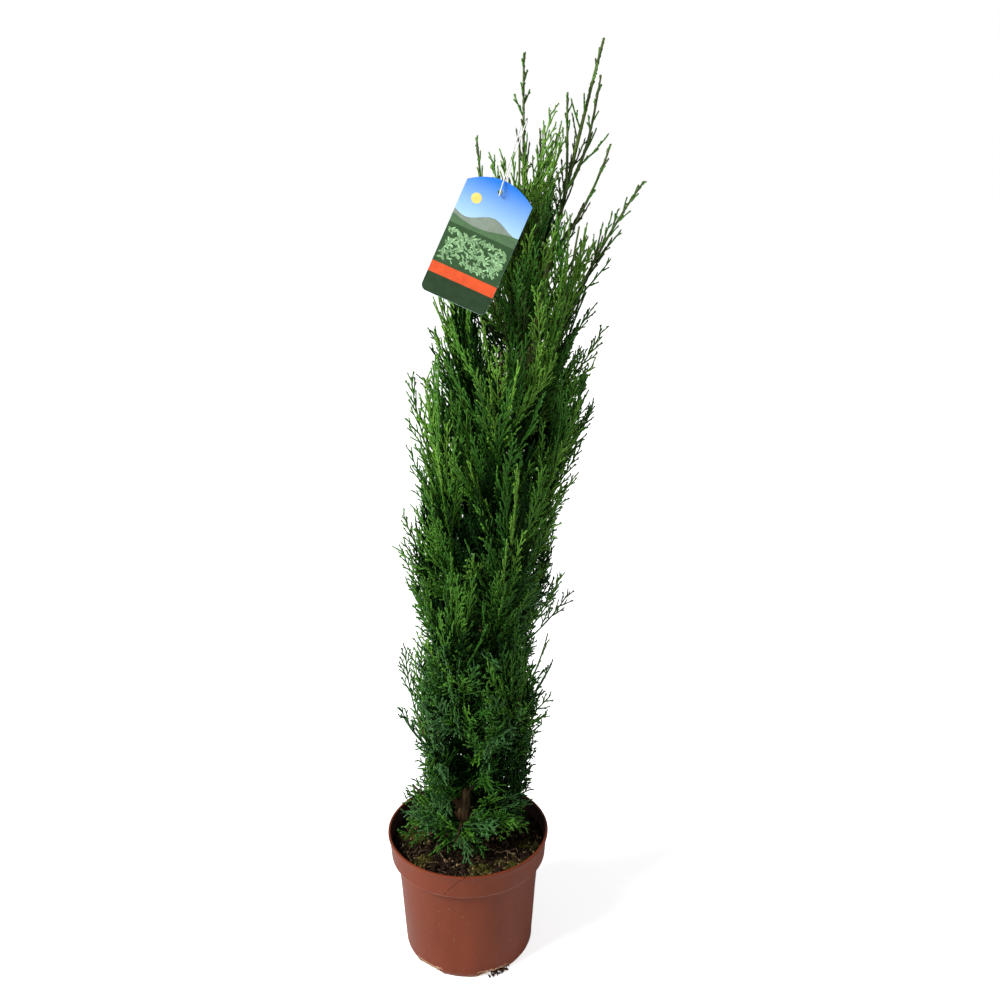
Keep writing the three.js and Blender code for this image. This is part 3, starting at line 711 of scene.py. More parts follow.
class CYPRESS_OT_pot(bpy.types.Operator):
    """Turns the pot's wall and cuts its notches and its crack"""

    bl_idname = "cypress.pot"
    bl_label = "Pot"

    def execute(self, context):
        settings, bm = context.scene.cypress_pot, bmesh.new()
        outline = [
            bm.verts.new((radius + out / 1000, 0, height + up / 1000))
            for radius, height, run in POT_PROFILE for out, up in run
        ]
        edges = [bm.edges.new(pair) for pair in zip(outline, outline[1:])]
        bmesh.ops.spin(
            bm, geom=outline + edges, cent=(0, 0, 0), axis=(0, 0, 1), dvec=(0, 0, 0),
            angle=2 * math.pi, steps=settings.facets, use_merge=True, use_duplicate=False,
        )
        bmesh.ops.remove_doubles(bm, verts=bm.verts, dist=1e-6)
        materials = pot_materials(settings)
        piece = finish_piece("nursery_pot", bm, materials, ["pot"])
        cut_away(piece, notch_cutter(settings))
        cut_away(piece, crack_cutter())
        mark_pot_faces(piece)
        finish_piece("torn_notch_edges", torn_flash(settings), [materials[2]])
        return {"FINISHED"}


# ---------------- peat, moss and straw

SOIL_GLOSS = 0.12
CLODS, CHIPS, STRAND_STEPS, PEAT_GRID = 420, 340, 9, 150
# middle and radius of each patch of moss
MOSS_PATCHES = [
    (-0.066, 0.004, 0.018), (-0.052, -0.044, 0.010), (0.016, -0.069, 0.015), (0.052, -0.050, 0.017),
    (0.072, -0.012, 0.013), (-0.020, 0.066, 0.018), (0.046, 0.056, 0.016),
]
# azimuth, half spread in degrees, and number of the lumps that spill out at a notch
SPILLS = ((-60, 9, 96), (118, 7, 50))


def soil_height(x, y):
    """Height of the peat's top: low mounds, with lumps and crumbs on them."""
    mounds = noise.noise(Vector((x * 26, y * 26, 3.1))) * 0.0052
    lumps = noise.noise(Vector((x * 120, y * 120, 7.7))) * 0.0048
    crumbs = noise.fractal(Vector((x * 300, y * 300, 1.3)), 0.8, 2.2, 4) * 0.0016
    level = SOIL_LEVEL - 0.0012 + 0.003 * math.exp(-((math.hypot(x, y) / 0.02) ** 2))
    return level + mounds + lumps + crumbs


def soil_reach(z):
    """Radius of the pot's inner wall at a height, less a hair's gap."""
    heights = [0.0, 0.0110, BAND_FOOT - 0.002, BAND_FOOT + 0.0025, POT_HEIGHT]
    outer = [FOOT_RADIUS, FOOT_RADIUS, SHOULDER_RADIUS, BAND_RADIUS, RIM_RADIUS - 0.0009]
    return float(np.interp(z, heights, outer)) - WALL - GAP


def moss_share(x, y):
    """Moss keeps to a few ragged patches."""
    ragged = noise.noise(Vector((x * 80, y * 80, 0.4))) * 0.9
    near = max(1.2 - math.hypot(x - px, y - py) / size for px, py, size in MOSS_PATCHES)
    return max(0.0, min(1.0, (near + ragged) * 1.3))


def chip_share(x, y):
    return 0.25 + moss_share(x, y)


def bmesh_arrays(bm):
    bmesh.ops.triangulate(bm, faces=bm.faces)
    bm.verts.index_update()
    points = np.array([vert.co[:] for vert in bm.verts])
    triangles = np.array([[vert.index for vert in face.verts] for face in bm.faces])
    bm.free()
    return points, triangles


def lump_shape(seed):
    """A crumb: an icosphere with its corners pushed about."""
    bm, shape = bmesh.new(), random.Random(seed)
    bmesh.ops.create_icosphere(bm, subdivisions=1, radius=1)
    for vert in bm.verts:
        vert.co *= shape.uniform(0.62, 1.25)
    return bmesh_arrays(bm)


def tuft_shape(seed, blades=7):
    """A tuft of moss: pointed blades that lean out of one root."""
    bm, shape = bmesh.new(), random.Random(seed)
    for k in range(blades):
        turn = 2 * math.pi * (k + shape.uniform(-0.3, 0.3)) / blades
        lean = Matrix.Rotation(shape.uniform(0.25, 1.1), 4, "Y")
        place = Matrix.Rotation(turn, 4, "Z") @ lean @ Matrix.Translation((0, 0, 0.45))
        bmesh.ops.create_cone(
            bm, cap_ends=True, cap_tris=True, segments=3, radius1=0.16, radius2=0.02, depth=1.0,
            matrix=place,
        )
    return bmesh_arrays(bm)


def place_copies(shape, matrices):
    """Many copies of one small shape, joined in arrays."""
    points, triangles = shape
    matrices = np.array([np.array(matrix) for matrix in matrices])
    turned = np.einsum("nij,pj->npi", matrices[:, :3, :3], points) + matrices[:, None, :3, 3]
    return turned.reshape(-1, 3), numbered(triangles, len(matrices), len(points))


def any_turn(rng):
    return rng.uniform(0, 2 * math.pi)


def strewn(rng, count, sizes, reach, lift, wanted):
    """Places on the peat's top: a turn, a size and a spot for each copy."""
    matrices = []
    while len(matrices) < count:
        turn = any_turn(rng)
        x, y, _ = polar(reach * math.sqrt(rng.random()), turn)
        if wanted and rng.random() > wanted(x, y):
            continue
        size = rng.uniform(*sizes)
        tilt_x = Matrix.Rotation(rng.uniform(-0.5, 0.5), 4, "X")
        tilt_y = Matrix.Rotation(rng.uniform(-0.5, 0.5), 4, "Y")
        spin = Matrix.Rotation(any_turn(rng), 4, "Z")
        spot = Matrix.Translation((x, y, soil_height(x, y) + lift * size))
        matrices.append(spot @ spin @ tilt_x @ tilt_y @ Matrix.Scale(size, 4))
    return matrices


def spilled(rng):
    """Places for the peat that spills out at the drainage notches."""
    matrices = []
    for azimuth, half_spread, count in SPILLS:
        for _ in range(count):
            size = 0.0005 + 0.0017 * rng.random() ** 2
            off = max(-1.2, min(1.2, rng.gauss(0, 0.55)))
            outwards = rng.uniform(-0.0030, 0.0060)
            pile = max(0.0, 1 - off * off) * (0.0060 - outwards) / 0.0090
            z = 1.3 * size + rng.random() * 0.0032 * pile
            turn = math.radians(azimuth + half_spread * off)
            spot = Matrix.Translation(polar(RIM_RADIUS - 0.0218 + outwards, turn, z))
            spin = Matrix.Rotation(any_turn(rng), 4, "Z")
            matrices.append(spot @ spin @ Matrix.Scale(size, 4))
    return matrices


def strand_path(rng, reach):
    """A piece of straw or root that lies on the peat and curls a little."""
    turn = any_turn(rng)
    x, y, _ = polar(reach * math.sqrt(rng.random()), turn)
    heading, curl, length = any_turn(rng), rng.uniform(-9, 9), rng.uniform(0.010, 0.038)
    step, path = length / STRAND_STEPS, []
    while len(path) < STRAND_STEPS and math.hypot(x, y) <= reach:
        path.append((x, y, soil_height(x, y) + rng.uniform(0.0003, 0.0016)))
        heading += curl * step * 10 + rng.uniform(-0.25, 0.25)
        ahead, aside, _ = polar(step, heading)
        x, y = x + ahead, y + aside
    return path


def strands(count, rng, reach):
    bm = bmesh.new()
    for _ in range(count):
        path = strand_path(rng, reach)
        if len(path) < 4:
            continue
        thick, last = rng.uniform(0.00035, 0.00095), len(path) - 1
        radii = [thick * (1 - 0.6 * abs(2 * k / last - 1)) for k in range(len(path))]
        grow_tube(bm, path, radii, 4)
    return bm


def peat_bed():
    """A round bed of peat with an uneven top, closed down to the pot's floor."""
    bm, reach = bmesh.new(), soil_reach(SOIL_LEVEL)
    bmesh.ops.create_grid(bm, x_segments=PEAT_GRID, y_segments=PEAT_GRID, size=1)
    for vert in bm.verts:
        x, y = vert.co.x, vert.co.y
        x, y = x * math.sqrt(1 - y * y / 2) * reach, y * math.sqrt(1 - x * x / 2) * reach
        vert.co = (x, y, soil_height(x, y))
    rim = [edge for edge in bm.edges if len(edge.link_faces) == 1]
    for z, inset in ((BAND_FOOT - 0.001, 0), (0.0125, 0), (0.0090, 0.0025)):
        rim = grow_rim(bm, rim)
        for vert in {vert for edge in rim for vert in edge.verts}:
            scale = (soil_reach(z) - inset) / math.hypot(vert.co.x, vert.co.y)
            vert.co = (vert.co.x * scale, vert.co.y * scale, z)
    bmesh.ops.contextual_create(bm, geom=rim)
    return bm


class CYPRESS_OT_soil(bpy.types.Operator):
    """Fills the pot with peat and strews crumbs, moss and straw on it"""

    bl_idname = "cypress.soil"
    bl_label = "Soil"

    def execute(self, context):
        settings, rng = context.scene.cypress_soil, random.Random(31)
        peat, moss, straw = settings.peat_color, settings.moss_color, settings.straw_color
        lumpy = {"bump": 0.8, "gloss": SOIL_GLOSS}
        bed = shaded_material("peat", peat, 1, 0.35, 260.0, 0.95, depth=0.0012, **lumpy)
        finish_piece("peat_fill", peat_bed(), [bed], ["soil"])
        lumps, reach = [lump_shape(k) for k in range(4)], soil_reach(SOIL_LEVEL) - 0.003
        crumb = shaded_material("peat_crumb", peat, 1.8, 0.5, 160.0, 0.95, gloss=SOIL_GLOSS)
        clod = shaded_material("peat_clod", peat, 1.7, 0.4, 300.0, 0.95, depth=0.001, **lumpy)
        cushion = shaded_material("moss", moss, 1, 0.18, 170.0, 0.9, gloss=SOIL_GLOSS)
        pale = mottled_material(
            "pale_chips", (0.38, 0.28, 0.13), (0.14, 0.085, 0.04), 300.0, 0.9, gloss=SOIL_GLOSS
        )
        tufts, splinters = [tuft_shape(k) for k in range(3)], [lump_shape(9), lump_shape(10)]
        # name, material, shapes, number, sizes, lift, where it is wanted
        for name, material, shapes, number, sizes, lift, wanted in (
            ("peat_crumbs", crumb, lumps, settings.crumbs, (0.0006, 0.0020), 0.2, None),
            ("peat_clods", clod, lumps, CLODS, (0.0018, 0.0044), 0.2, None),
            ("moss_tufts", cushion, tufts, settings.tufts, (0.0014, 0.0042), 0.0, moss_share),
            ("pale_chips", pale, splinters, CHIPS, (0.0006, 0.0021), 0.5, chip_share),
        ):
            each = number // len(shapes)
            copies = [
                place_copies(shape, strewn(rng, each, sizes, reach, lift, wanted))
                for shape in shapes
            ]
            finish_piece(name, joined(copies), [material])
        dry = shaded_material("straw", straw, 1, 0.5, 120.0, 0.8)
        finish_piece("straw_and_roots", strands(settings.strands, rng, reach), [dry])
        # painted light: the spilled peat is five times the peat's colour so the heap in the pot's
        # shadow reads brown
        fresh = shaded_material("spilled_peat", peat, 5.0, 1.2, 420.0, 0.95, depth=0.001, **lumpy)
        heap = place_copies(lumps[0], spilled(rng))
        finish_piece("peat_at_notches", heap, [fresh])
        return {"FINISHED"}


# ---------------- trunk and limbs


def trunk_at(z):
    rise = z - SOIL_LEVEL
    x = TRUNK_FOOT_X + TRUNK_LEAN * rise + TRUNK_BEND * rise * rise
    return np.array([x, TRUNK_SWAY * math.sin(rise / (TRUNK_TOP - SOIL_LEVEL) * 7), z])


def trunk_radius(z):
    rise = z - SOIL_LEVEL
    left = max(0.0, 1 - rise / (TRUNK_TOP - SOIL_LEVEL))
    taper = blend(TRUNK_TIP_RADIUS, TRUNK_FOOT_RADIUS, left ** 1.15)
    return taper + FLARE_RADIUS * math.exp(-rise / FLARE_HEIGHT)


def crown_axis(z):
    """X of the crown's middle line at a height."""
    rise = z - SOIL_LEVEL
    return CROWN_AXIS_LEAN * rise + CROWN_AXIS_BEND * rise * rise


def crown_reach(z):
    low = blend(CROWN_FOOT_REACH, CROWN_REACH, smoothstep(z, SOIL_LEVEL, CROWN_FULL_HEIGHT))
    return low * (1 - CROWN_CLOSE * smoothstep(z, CROWN_SHOULDER, CROWN_TOP))


class Limb:
    """A limb leaves the trunk outwards and turns up to its tip."""

    def __init__(self, name, foot_height, tip, growth):
        foot = trunk_at(foot_height)
        span = np.array(tip) - foot
        flat = span * (1, 1, 0)
        self.name, self.growth, self.out = name, growth, unit(flat)
        self.across = np.array([-self.out[1], self.out[0], 0.0])
        self.length = float(np.linalg.norm(span))
        leave_share, arrive_share = LEANING_FAR.get(name, LEANING)
        leave = unit(self.out * leave_share + UP)
        arrive = unit(flat * arrive_share + UP * span[2])
        self.points = np.array([
            foot, foot + leave * self.length * 0.30, tip - arrive * self.length * 0.33, tip,
        ])
        self.foot_radius = 0.45 * trunk_radius(foot_height) + STEM_TIP_RADIUS
        self.stem_end = 1 - growth.tip_shoot / self.length
        self.samples = np.array([self.at(k / 12) for k in range(13)])

    def at(self, t):
        a, b, c, d = self.points
        s = 1 - t
        return a * s ** 3 + b * 3 * s * s * t + c * 3 * s * t * t + d * t ** 3

    def ahead(self, t):
        a, b, c, d = self.points
        s = 1 - t
        return unit((b - a) * s * s + (c - b) * 2 * s * t + (d - c) * t * t)

    def radius(self, t):
        return blend(self.foot_radius, STEM_TIP_RADIUS, t ** 0.8)


def spiral_bough(i):
    """Name, height of the foot and tip of one bough of the spiral."""
    share = i / (BOUGHS - 1)
    foot = blend(BOUGH_FOOT, BOUGH_HEAD, share ** 1.12)
    top = foot + blend(BOUGH_RISE_FOOT, BOUGH_RISE_HEAD, math.sqrt(share))
    reach = float(crown_reach(top)) * BOUGH_TIP_SHARE
    x, y, _ = polar(reach, BOUGH_FIRST_AZIMUTH + GOLDEN_ANGLE * i)
    return f"bough_{i + 1:02d}", foot, (crown_axis(top) + x, y, top)


def node_name(limb, part):
    """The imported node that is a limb's bough or its mass of foliage."""
    name = limb.name
    return name.replace("bough", part) if name.startswith("bough") else f"{name}_{part}"


SPIRAL = [spiral_bough(i) for i in range(BOUGHS)]
LIMBS = [
    Limb(*row, growth) for rows, growth in (
        (SKIRT, SKIRT_GROWTH), (SPIRAL, SPIRAL_GROWTH), (LEADERS, LEADER_GROWTH),
        (TIP_SHOOTS, TIP_GROWTH),
    ) for row in rows
]
MASS_NODES = [node_name(limb, "mass") for limb in LIMBS]
BOUGH_NODES = [node_name(limb, "bough") for limb in LIMBS if limb.growth.bough_share > 0]


def bark_push(point, turn, rise, relief):
    """How far the bark stands out: long stringy ridges, split across here and there."""
    ridge = noise.noise(Vector(polar(2.6, turn, rise * 34)))
    fine = noise.noise(Vector(polar(7, turn, rise * 120)))
    return relief * (0.9 * ridge + 0.5 * fine + 0.25 * noise.noise(point * 900))


def grow_trunk(settings):
    """The trunk from just under the peat, with bark and with three lobes at its foot."""
    bm, foot = bmesh.new(), SOIL_LEVEL - TRUNK_ROOT
    shares = np.linspace(0, 1, TRUNK_RINGS)
    heights = [foot + (TRUNK_TOP - foot) * (0.35 * s + 0.65 * s * s) for s in shares]
    radii = [trunk_radius(z) for z in heights]
    grow_tube(bm, [trunk_at(z) for z in heights], radii, TRUNK_SIDES)
    for vert in bm.verts:
        z = min(max(vert.co.z, foot), TRUNK_TOP)
        off, rise = (vert.co - Vector(trunk_at(z))) * Vector((1, 1, 0)), z - SOIL_LEVEL
        if off.length < 1e-6:
            continue
        turn = math.atan2(off.y, off.x)
        depth = settings.relief * blend(0.22, 1.0, math.exp(-rise / 0.25))
        lobes = 0.0011 * math.cos(3 * turn + 0.7) * math.exp(-max(rise, 0) / 0.010)
        push = min(bark_push(vert.co, turn, rise, depth) + lobes, 0.0016)
        vert.co += off.normalized() * push
    return bm


def limb_tube(bm, limb, start, end, sides, rings, relief):
    """One stretch of a limb, with a slight relief."""
    shares, first = np.linspace(start, end, rings), len(bm.verts)
    path = [Vector(limb.at(t)) for t in shares]
    grow_tube(bm, path, [limb.radius(t) for t in shares], sides)
    bm.verts.ensure_lookup_table()
    for vert in bm.verts[first:]:
        off = vert.co - min(path, key=lambda centre: (vert.co - centre).length_squared)
        if off.length > 1e-5:
            vert.co += off.normalized() * noise.noise(vert.co * 420) * relief


def trunk_material(settings):
    """Brown stringy bark at the foot that turns to a smooth olive skin near the leader's tip."""
    bark = start_material("cypress_bark", settings.bark_light, 0.85)
    ridges = place_group(
        bark, "mottle", Light=settings.bark_light, Dark=settings.bark_dark, Scale=300.0,
        Stretch=(1, 1, 0.12), Low=0.36, High=0.62,
    )
    green = place_group(
        bark, "mottle", Light=settings.green_color, Dark=shade(settings.green_color, 0.6),
        Scale=140.0, Stretch=(1, 1, 0.2),
    )
    tree = bark.node_tree
    height = add_node(tree, "SeparateXYZ", object_place(tree)).outputs["Z"]
    share = spread(tree, height, From_Min=0.50, From_Max=0.86)
    dress(bark, Base_Color=mix_colors(tree, share, ridges["Color"], green["Color"]))
    add_bump(bark, ridges["Mask"], 0.5, 0.0006)
    return bark


class CYPRESS_OT_wood(bpy.types.Operator):
    """Grows the trunk, the boughs and the stems, with their bark"""

    bl_idname = "cypress.wood"
    bl_label = "Wood"

    def execute(self, context):
        settings, along = context.scene.cypress_wood, (1, 1, 0.3)
        bark = trunk_material(settings)
        finish_piece("trunk_bark", grow_trunk(settings), [bark], ["trunk"])
        young = shaded_material(
            "young_bark", settings.young_color, 1, 0.5, 160.0, 0.7, stretch=along, bump=0.6
        )
        green = shaded_material(
            "green_stem", settings.green_color, 1, 0.6, 120.0, 0.5, stretch=along, bump=0.3
        )
        boughs, low_stems, high_stems = bmesh.new(), bmesh.new(), bmesh.new()
        for limb in LIMBS:
            share = limb.growth.bough_share
            stems = low_stems if limb.points[0][2] < GREEN_STEM_HEIGHT else high_stems
            if share > 0:
                limb_tube(boughs, limb, 0, share, 10, 16, 0.00035)
            limb_tube(stems, limb, share, 1, 8, 26, 0.00015)
        for name, bm, material, nodes in (
            ("boughs", boughs, young, BOUGH_NODES), ("brown_stems", low_stems, young, ()),
            ("green_stems", high_stems, green, ()),
        ):
            finish_piece(name, bm, [material], nodes)
        return {"FINISHED"}


# ---------------- foliage

SWING = math.radians(130)
SHOOT_TRIES, SHOOT_SHRINK, SHOOT_RADIUS = 60, 0.985, 0.0011
SHOOT_FOOT, SHOOT_HEAD = 0.072, 0.150
ANGLE_MIN, ANGLE_FOOT, ANGLE_HEAD = 8, 76, 30
FAN_LOW, FAN_HIGH = 0.26, 0.52
TRUNK_SHOOTS, TRUNK_SHOOTS_FOOT, TRUNK_SHOOTS_HEAD = 190, 0.175, TRUNK_TOP - 0.020
SPARSE_LOW, SPARSE_HIGH, TRUNK_OPEN_HEIGHT = 0.82, 0.87, 0.765
RECESS_SHOOTS, RECESS_LOW, RECESS_HIGH = 60, 0.185, 0.285
LEADER_FOLIAGE, OWN_SPACE = 0.026, 0.025
STEM_RUN, NUB_RADIUS, BARE_TRUNK = 0.030, 0.0013, 0.900
GAP_TRIES, GAP_LOW, GAP_HIGH = 9000, 0.17, 0.86
# by height, how far apart the shoots that fill gaps stand
GAP_SIZES = ((0.20, 0.40, 0.70, 0.76, 0.82, 0.88), (0.0125, 0.0125, 0.0130, 0.018, 0.026, 0.030))
# by height, the share of shoots that are left out again
THINNING = ((0.40, 0.52, 0.70, 0.77, 0.86), (0.0, 0.14, 0.18, 0.52, 0.50))
BACK_THINNING = 0.6
BOX_MARGIN = ((0.001, 0.001, 0), (-0.001, -0.001, -0.0005))
PIECE_TRIANGLES = 190000
LEAF_GLOSS, SHADE_GLOSS = 0.25, 0.06
# the shoots' finishes from painted shade to painted light, and the share at which each one ends
FINISHES = {
    "low": {"shade": 0.44, "middle": 0.66, "fresh": 0.82, "bloom": 1.0},
    "high": {"shade": 0.38, "middle": 0.64, "fresh": 0.87, "bright": 1.0},
    "top": {"olive": 0.80, "fresh": 1.0},
}

# height, and the crown's reach there to the left, to the right and to the front, as shares
# of crown_reach
CROWN_SIDES = np.array([
    (0.15, 1.16, 1.06, 0.92), (0.205, 1.04, 1.08, 0.90), (0.218, 0.72, 1.06, 0.94),
    (0.26, 0.72, 0.93, 1.00), (0.33, 0.75, 0.94, 1.00), (0.42, 0.79, 0.60, 1.00),
    (0.47, 0.94, 0.80, 1.00), (0.54, 0.95, 0.86, 1.00), (0.65, 0.97, 1.08, 1.00),
    (0.70, 1.04, 1.10, 1.00), (0.76, 0.93, 0.88, 1.00), (0.80, 0.88, 0.74, 1.00),
    (0.87, 0.90, 0.74, 1.00), (0.95, 0.80, 0.60, 1.00),
])
# tips of the longest side shoots
OUTER_TIPS = [
    (0.105, 0.000, 0.475), (0.114, -0.004, 0.456), (0.098, -0.012, 0.462), (0.090, -0.004, 0.400),
    (0.097, 0.002, 0.367), (-0.077, 0.000, 0.312), (-0.073, -0.006, 0.304), (-0.068, -0.004, 0.390),
    (-0.068, 0.002, 0.498), (-0.066, -0.006, 0.548), (-0.058, 0.004, 0.616),
    (-0.054, -0.006, 0.696), (0.143, 0.000, 0.743), (0.135, -0.008, 0.668), (0.128, 0.006, 0.700),
]
# the hollow before the foot of the trunk, between the low clumps: by height, its half width
# and where it starts in front of the trunk
HOLLOW_X, STEEP_SPAN, STEEP_RISE = -0.006, 0.016, 0.032
HOLLOW_HEIGHTS = (0.165, 0.212, 0.224, 0.300)
HOLLOW_HALVES = (0.011, 0.011, 0.013, 0.013)
HOLLOW_FRONTS = (-0.003, -0.003, -0.036, -0.036)

TAG_FRAME = (
    Matrix.Translation(TAG_CENTRE)
    @ Matrix.Rotation(math.pi / 2 - TAG_LEAN_BACK, 4, "X")
    @ Matrix.Rotation(-TAG_TILT, 4, "Z")
)
TAG_INVERSE = np.array(TAG_FRAME.inverted())

# every limb as short straight runs, to find which limb a point is nearest to
SPACE_SAMPLES = np.array([limb.samples for limb in LIMBS])
SPACE_STARTS, SPACE_RUNS = SPACE_SAMPLES[:, :-1], SPACE_SAMPLES[:, 1:] - SPACE_SAMPLES[:, :-1]
SPACE_LENGTHS = (SPACE_RUNS ** 2).sum(-1)


class Twigs:
    """Many thin twigs in arrays. Each bends from root to tip, in the plane of its spray."""

    def __init__(self, *columns):
        self.columns = columns
        self.root, self.bend, self.tip, self.face = columns[:4]
        self.radius, self.fan, self.sparse, self.shoot = columns[4:]
        self.length = np.linalg.norm(self.bend - self.root, axis=1) + np.linalg.norm(
            self.tip - self.bend, axis=1
        )

    def __len__(self):
        return len(self.root)

    def only(self, keep):
        return Twigs(*(column[keep] for column in self.columns))

    def at(self, t):
        t = t[..., None]
        return self.root * (1 - t) ** 2 + self.bend * 2 * t * (1 - t) + self.tip * t * t

    def ahead(self, t):
        t = t[..., None]
        return unit((self.bend - self.root) * (1 - t) + (self.tip - self.bend) * t)

    def by_kind(self, feather, fan, sparse):
        """Mixes what a feathery shoot, a fan and a bare leader would have."""
        return blend(blend(feather, fan, self.fan), sparse, self.sparse)


def nearest_limb(point):
    """Index of the nearest limb, and how far off every limb is."""
    off = point - SPACE_STARTS
    along = np.clip((off * SPACE_RUNS).sum(-1) / SPACE_LENGTHS, 0, 1)
    gaps = np.linalg.norm(off - SPACE_RUNS * along[..., None], axis=-1).min(axis=1)
    return int(gaps.argmin()), gaps


def side_shares(x_off, y, z):
    """The crown's reach as shares of crown_reach, on the side that a point lies on."""
    heights, left, right, front = CROWN_SIDES.T
    across = np.where(x_off < 0, np.interp(z, heights, left), np.interp(z, heights, right))
    return across, np.where(y < 0, np.interp(z, heights, front), 1.0)


def crown_ratio(points):
    """How far out in the crown points are: 0 on its middle line, 1 at its reach."""
    y, z = points[..., 1], points[..., 2]
    off = points[..., 0] - crown_axis(z)
    across, deep = side_shares(off, y, z)
    return np.hypot(off / across, y / deep) / np.maximum(crown_reach(z), 0.004)


def clear_of_pot(points):
    z, radius = points[..., 2], np.hypot(points[..., 0], points[..., 1])
    over_rim = (z > POT_HEIGHT + 0.002) | (radius < RIM_RADIUS - 0.0105)
    return (z > SOIL_LEVEL + 0.004) & over_rim


def in_box(points):
    """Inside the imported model's box, which the pot and the furthest shoots fill."""
    low, high = np.array(CAD_BOX) + BOX_MARGIN
    return ((points > low) & (points < high)).all(axis=-1)


def clear_of_tag(points):
    """Nothing grows through the tag or in front of it."""
    local = points @ TAG_INVERSE[:3, :3].T + TAG_INVERSE[:3, 3]
    across, along, depth = np.abs(local[..., 0]), np.abs(local[..., 1]), local[..., 2]
    beside = (across > TAG_WIDTH / 2 + 0.002) | (along > TAG_HEIGHT / 2 + 0.002)
    return beside | (depth < -0.003)


def clear_of_hollow(points):
    z = points[..., 2]
    beside = np.abs(points[..., 0] - HOLLOW_X) > np.interp(z, HOLLOW_HEIGHTS, HOLLOW_HALVES)
    behind = points[..., 1] > np.interp(z, HOLLOW_HEIGHTS, HOLLOW_FRONTS)
    under = z < HOLLOW_HEIGHTS[0] - 0.3 * points[..., 1]
    return beside | behind | under | (z > HOLLOW_HEIGHTS[-1])


def is_clear(points):
    """Clear of pot, tag and hollow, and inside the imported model's box."""
    tests = (clear_of_pot, clear_of_tag, clear_of_hollow, in_box)
    return all(test(points).all() for test in tests)


def thinned(row, rng):
    """The crown opens towards its top: some shoots of the main crown are left out there."""
    tip, sparse = row[2], row[6]
    share = np.interp(tip[2], *THINNING) * (1.0 if tip[1] < 0 else BACK_THINNING)
    return not sparse and rng.random() < share


def beside_hollow(row):
    """A steep shoot from the foot in front would stand bare at the hollow's side."""
    root, tip = row[0], row[2]
    in_front = abs(root[0] - HOLLOW_X) < STEEP_SPAN and root[1] < 0.004 and root[2] < 0.190
    return in_front and tip[2] - root[2] > STEEP_RISE and abs(tip[0] - HOLLOW_X) < 0.045


def fan_share(z, rng):
    """1 for the flat fans low on the crown, 0 for the feathery shoots above them."""
    return float(1 - smoothstep(z + rng.uniform(-0.07, 0.07), FAN_LOW, FAN_HIGH))


def turned_face(normal, heading, roll):
    """The flat side of a spray, turned about its heading."""
    flat = unit(normal - heading * np.dot(normal, heading))
    return flat * math.cos(roll) + np.cross(heading, flat) * math.sin(roll)


def run_along(at, start, end, normal, roll):
    """Root, bend, tip and face of a stretch of a stem."""
    root, middle, tip = at(start), at((start + end) / 2), at(end)
    face = turned_face(normal, unit(tip - root), roll)
    return root, middle * 2 - (root + tip) / 2, tip, face


def tip_shoot(limb, rng):
    """The limb's own end, which buds as a shoot does."""
    run = run_along(limb.at, limb.stem_end, 1.0, limb.out, 0.6)
    return *run, SHOOT_RADIUS, fan_share(run[0][2], rng), limb.growth.sparse


def bent_shoot(root, heading, length, lift):
    """Bend and tip of a shoot whose outer half turns up."""
    bend = root + heading * length * 0.5
    return bend, bend + unit(heading + UP * lift) * length * 0.5


def room_for(points, index, limb, reach):
    """A shoot keeps to its own limb's space, and to the crown unless its limb is free."""
    if not is_clear(points):
        return False
    for point, is_inside in zip(points, crown_ratio(points) <= reach):
        nearest, gaps = nearest_limb(point)
        if nearest != index and gaps[nearest] < gaps[index] - OWN_SPACE:
            return False
        if not is_inside and not (limb.growth.free and gaps[index] < LEADER_FOLIAGE):
            return False
    return True


def grow_shoots(index, limb, seed):
    """The seeded rule: shoots leave the stem on alternate sides where they have room."""
    rng, growth = random.Random(seed * 1000 + index), limb.growth
    shoots = [tip_shoot(limb, rng)]
    for turn_no in range(growth.shoots):
        side = 1 if turn_no % 2 else -1
        for tries in range(SHOOT_TRIES):
            t = blend(growth.bough_share * 0.35, limb.stem_end, rng.random())
            place, ahead = limb.at(t), limb.ahead(t)
            outward = unit(np.cross(limb.across, ahead))
            on_stem = max(0.0, (t - growth.bough_share) / (1 - growth.bough_share))
            swing, height = side * SWING * rng.random(), place[2] / TRUNK_TOP
            widest = blend(ANGLE_FOOT, ANGLE_HEAD, smoothstep(height, 0.1, 0.65))
            angle = math.radians(blend(ANGLE_MIN, widest, rng.random()) * (1 - 0.3 * on_stem))
            off = outward * math.cos(swing) + limb.across * math.sin(swing)
            heading = unit(ahead * math.cos(angle) + off * math.sin(angle))
            size = growth.shoot_size * rng.uniform(0.75, 1.15) * (1 - growth.taper * on_stem)
            length = blend(SHOOT_FOOT, SHOOT_HEAD, height) * size * SHOOT_SHRINK ** tries
            lift = blend(0.0, 0.55, height) + rng.uniform(-0.25, 0.2)
            face = turned_face(outward, heading, math.radians(rng.uniform(-80, 80)))
            root = place - heading * limb.radius(t) * 0.5
            bend, tip = bent_shoot(root, heading, length, lift)
            points = np.array([bend, blend(bend, tip, 0.7), tip])
            if room_for(points, index, limb, 0.93 + 0.24 * rng.random() ** 2):
                fan = fan_share(root[2], rng)
                shoots.append((root, bend, tip, face, SHOOT_RADIUS, fan, growth.sparse))
                break
    return shoots


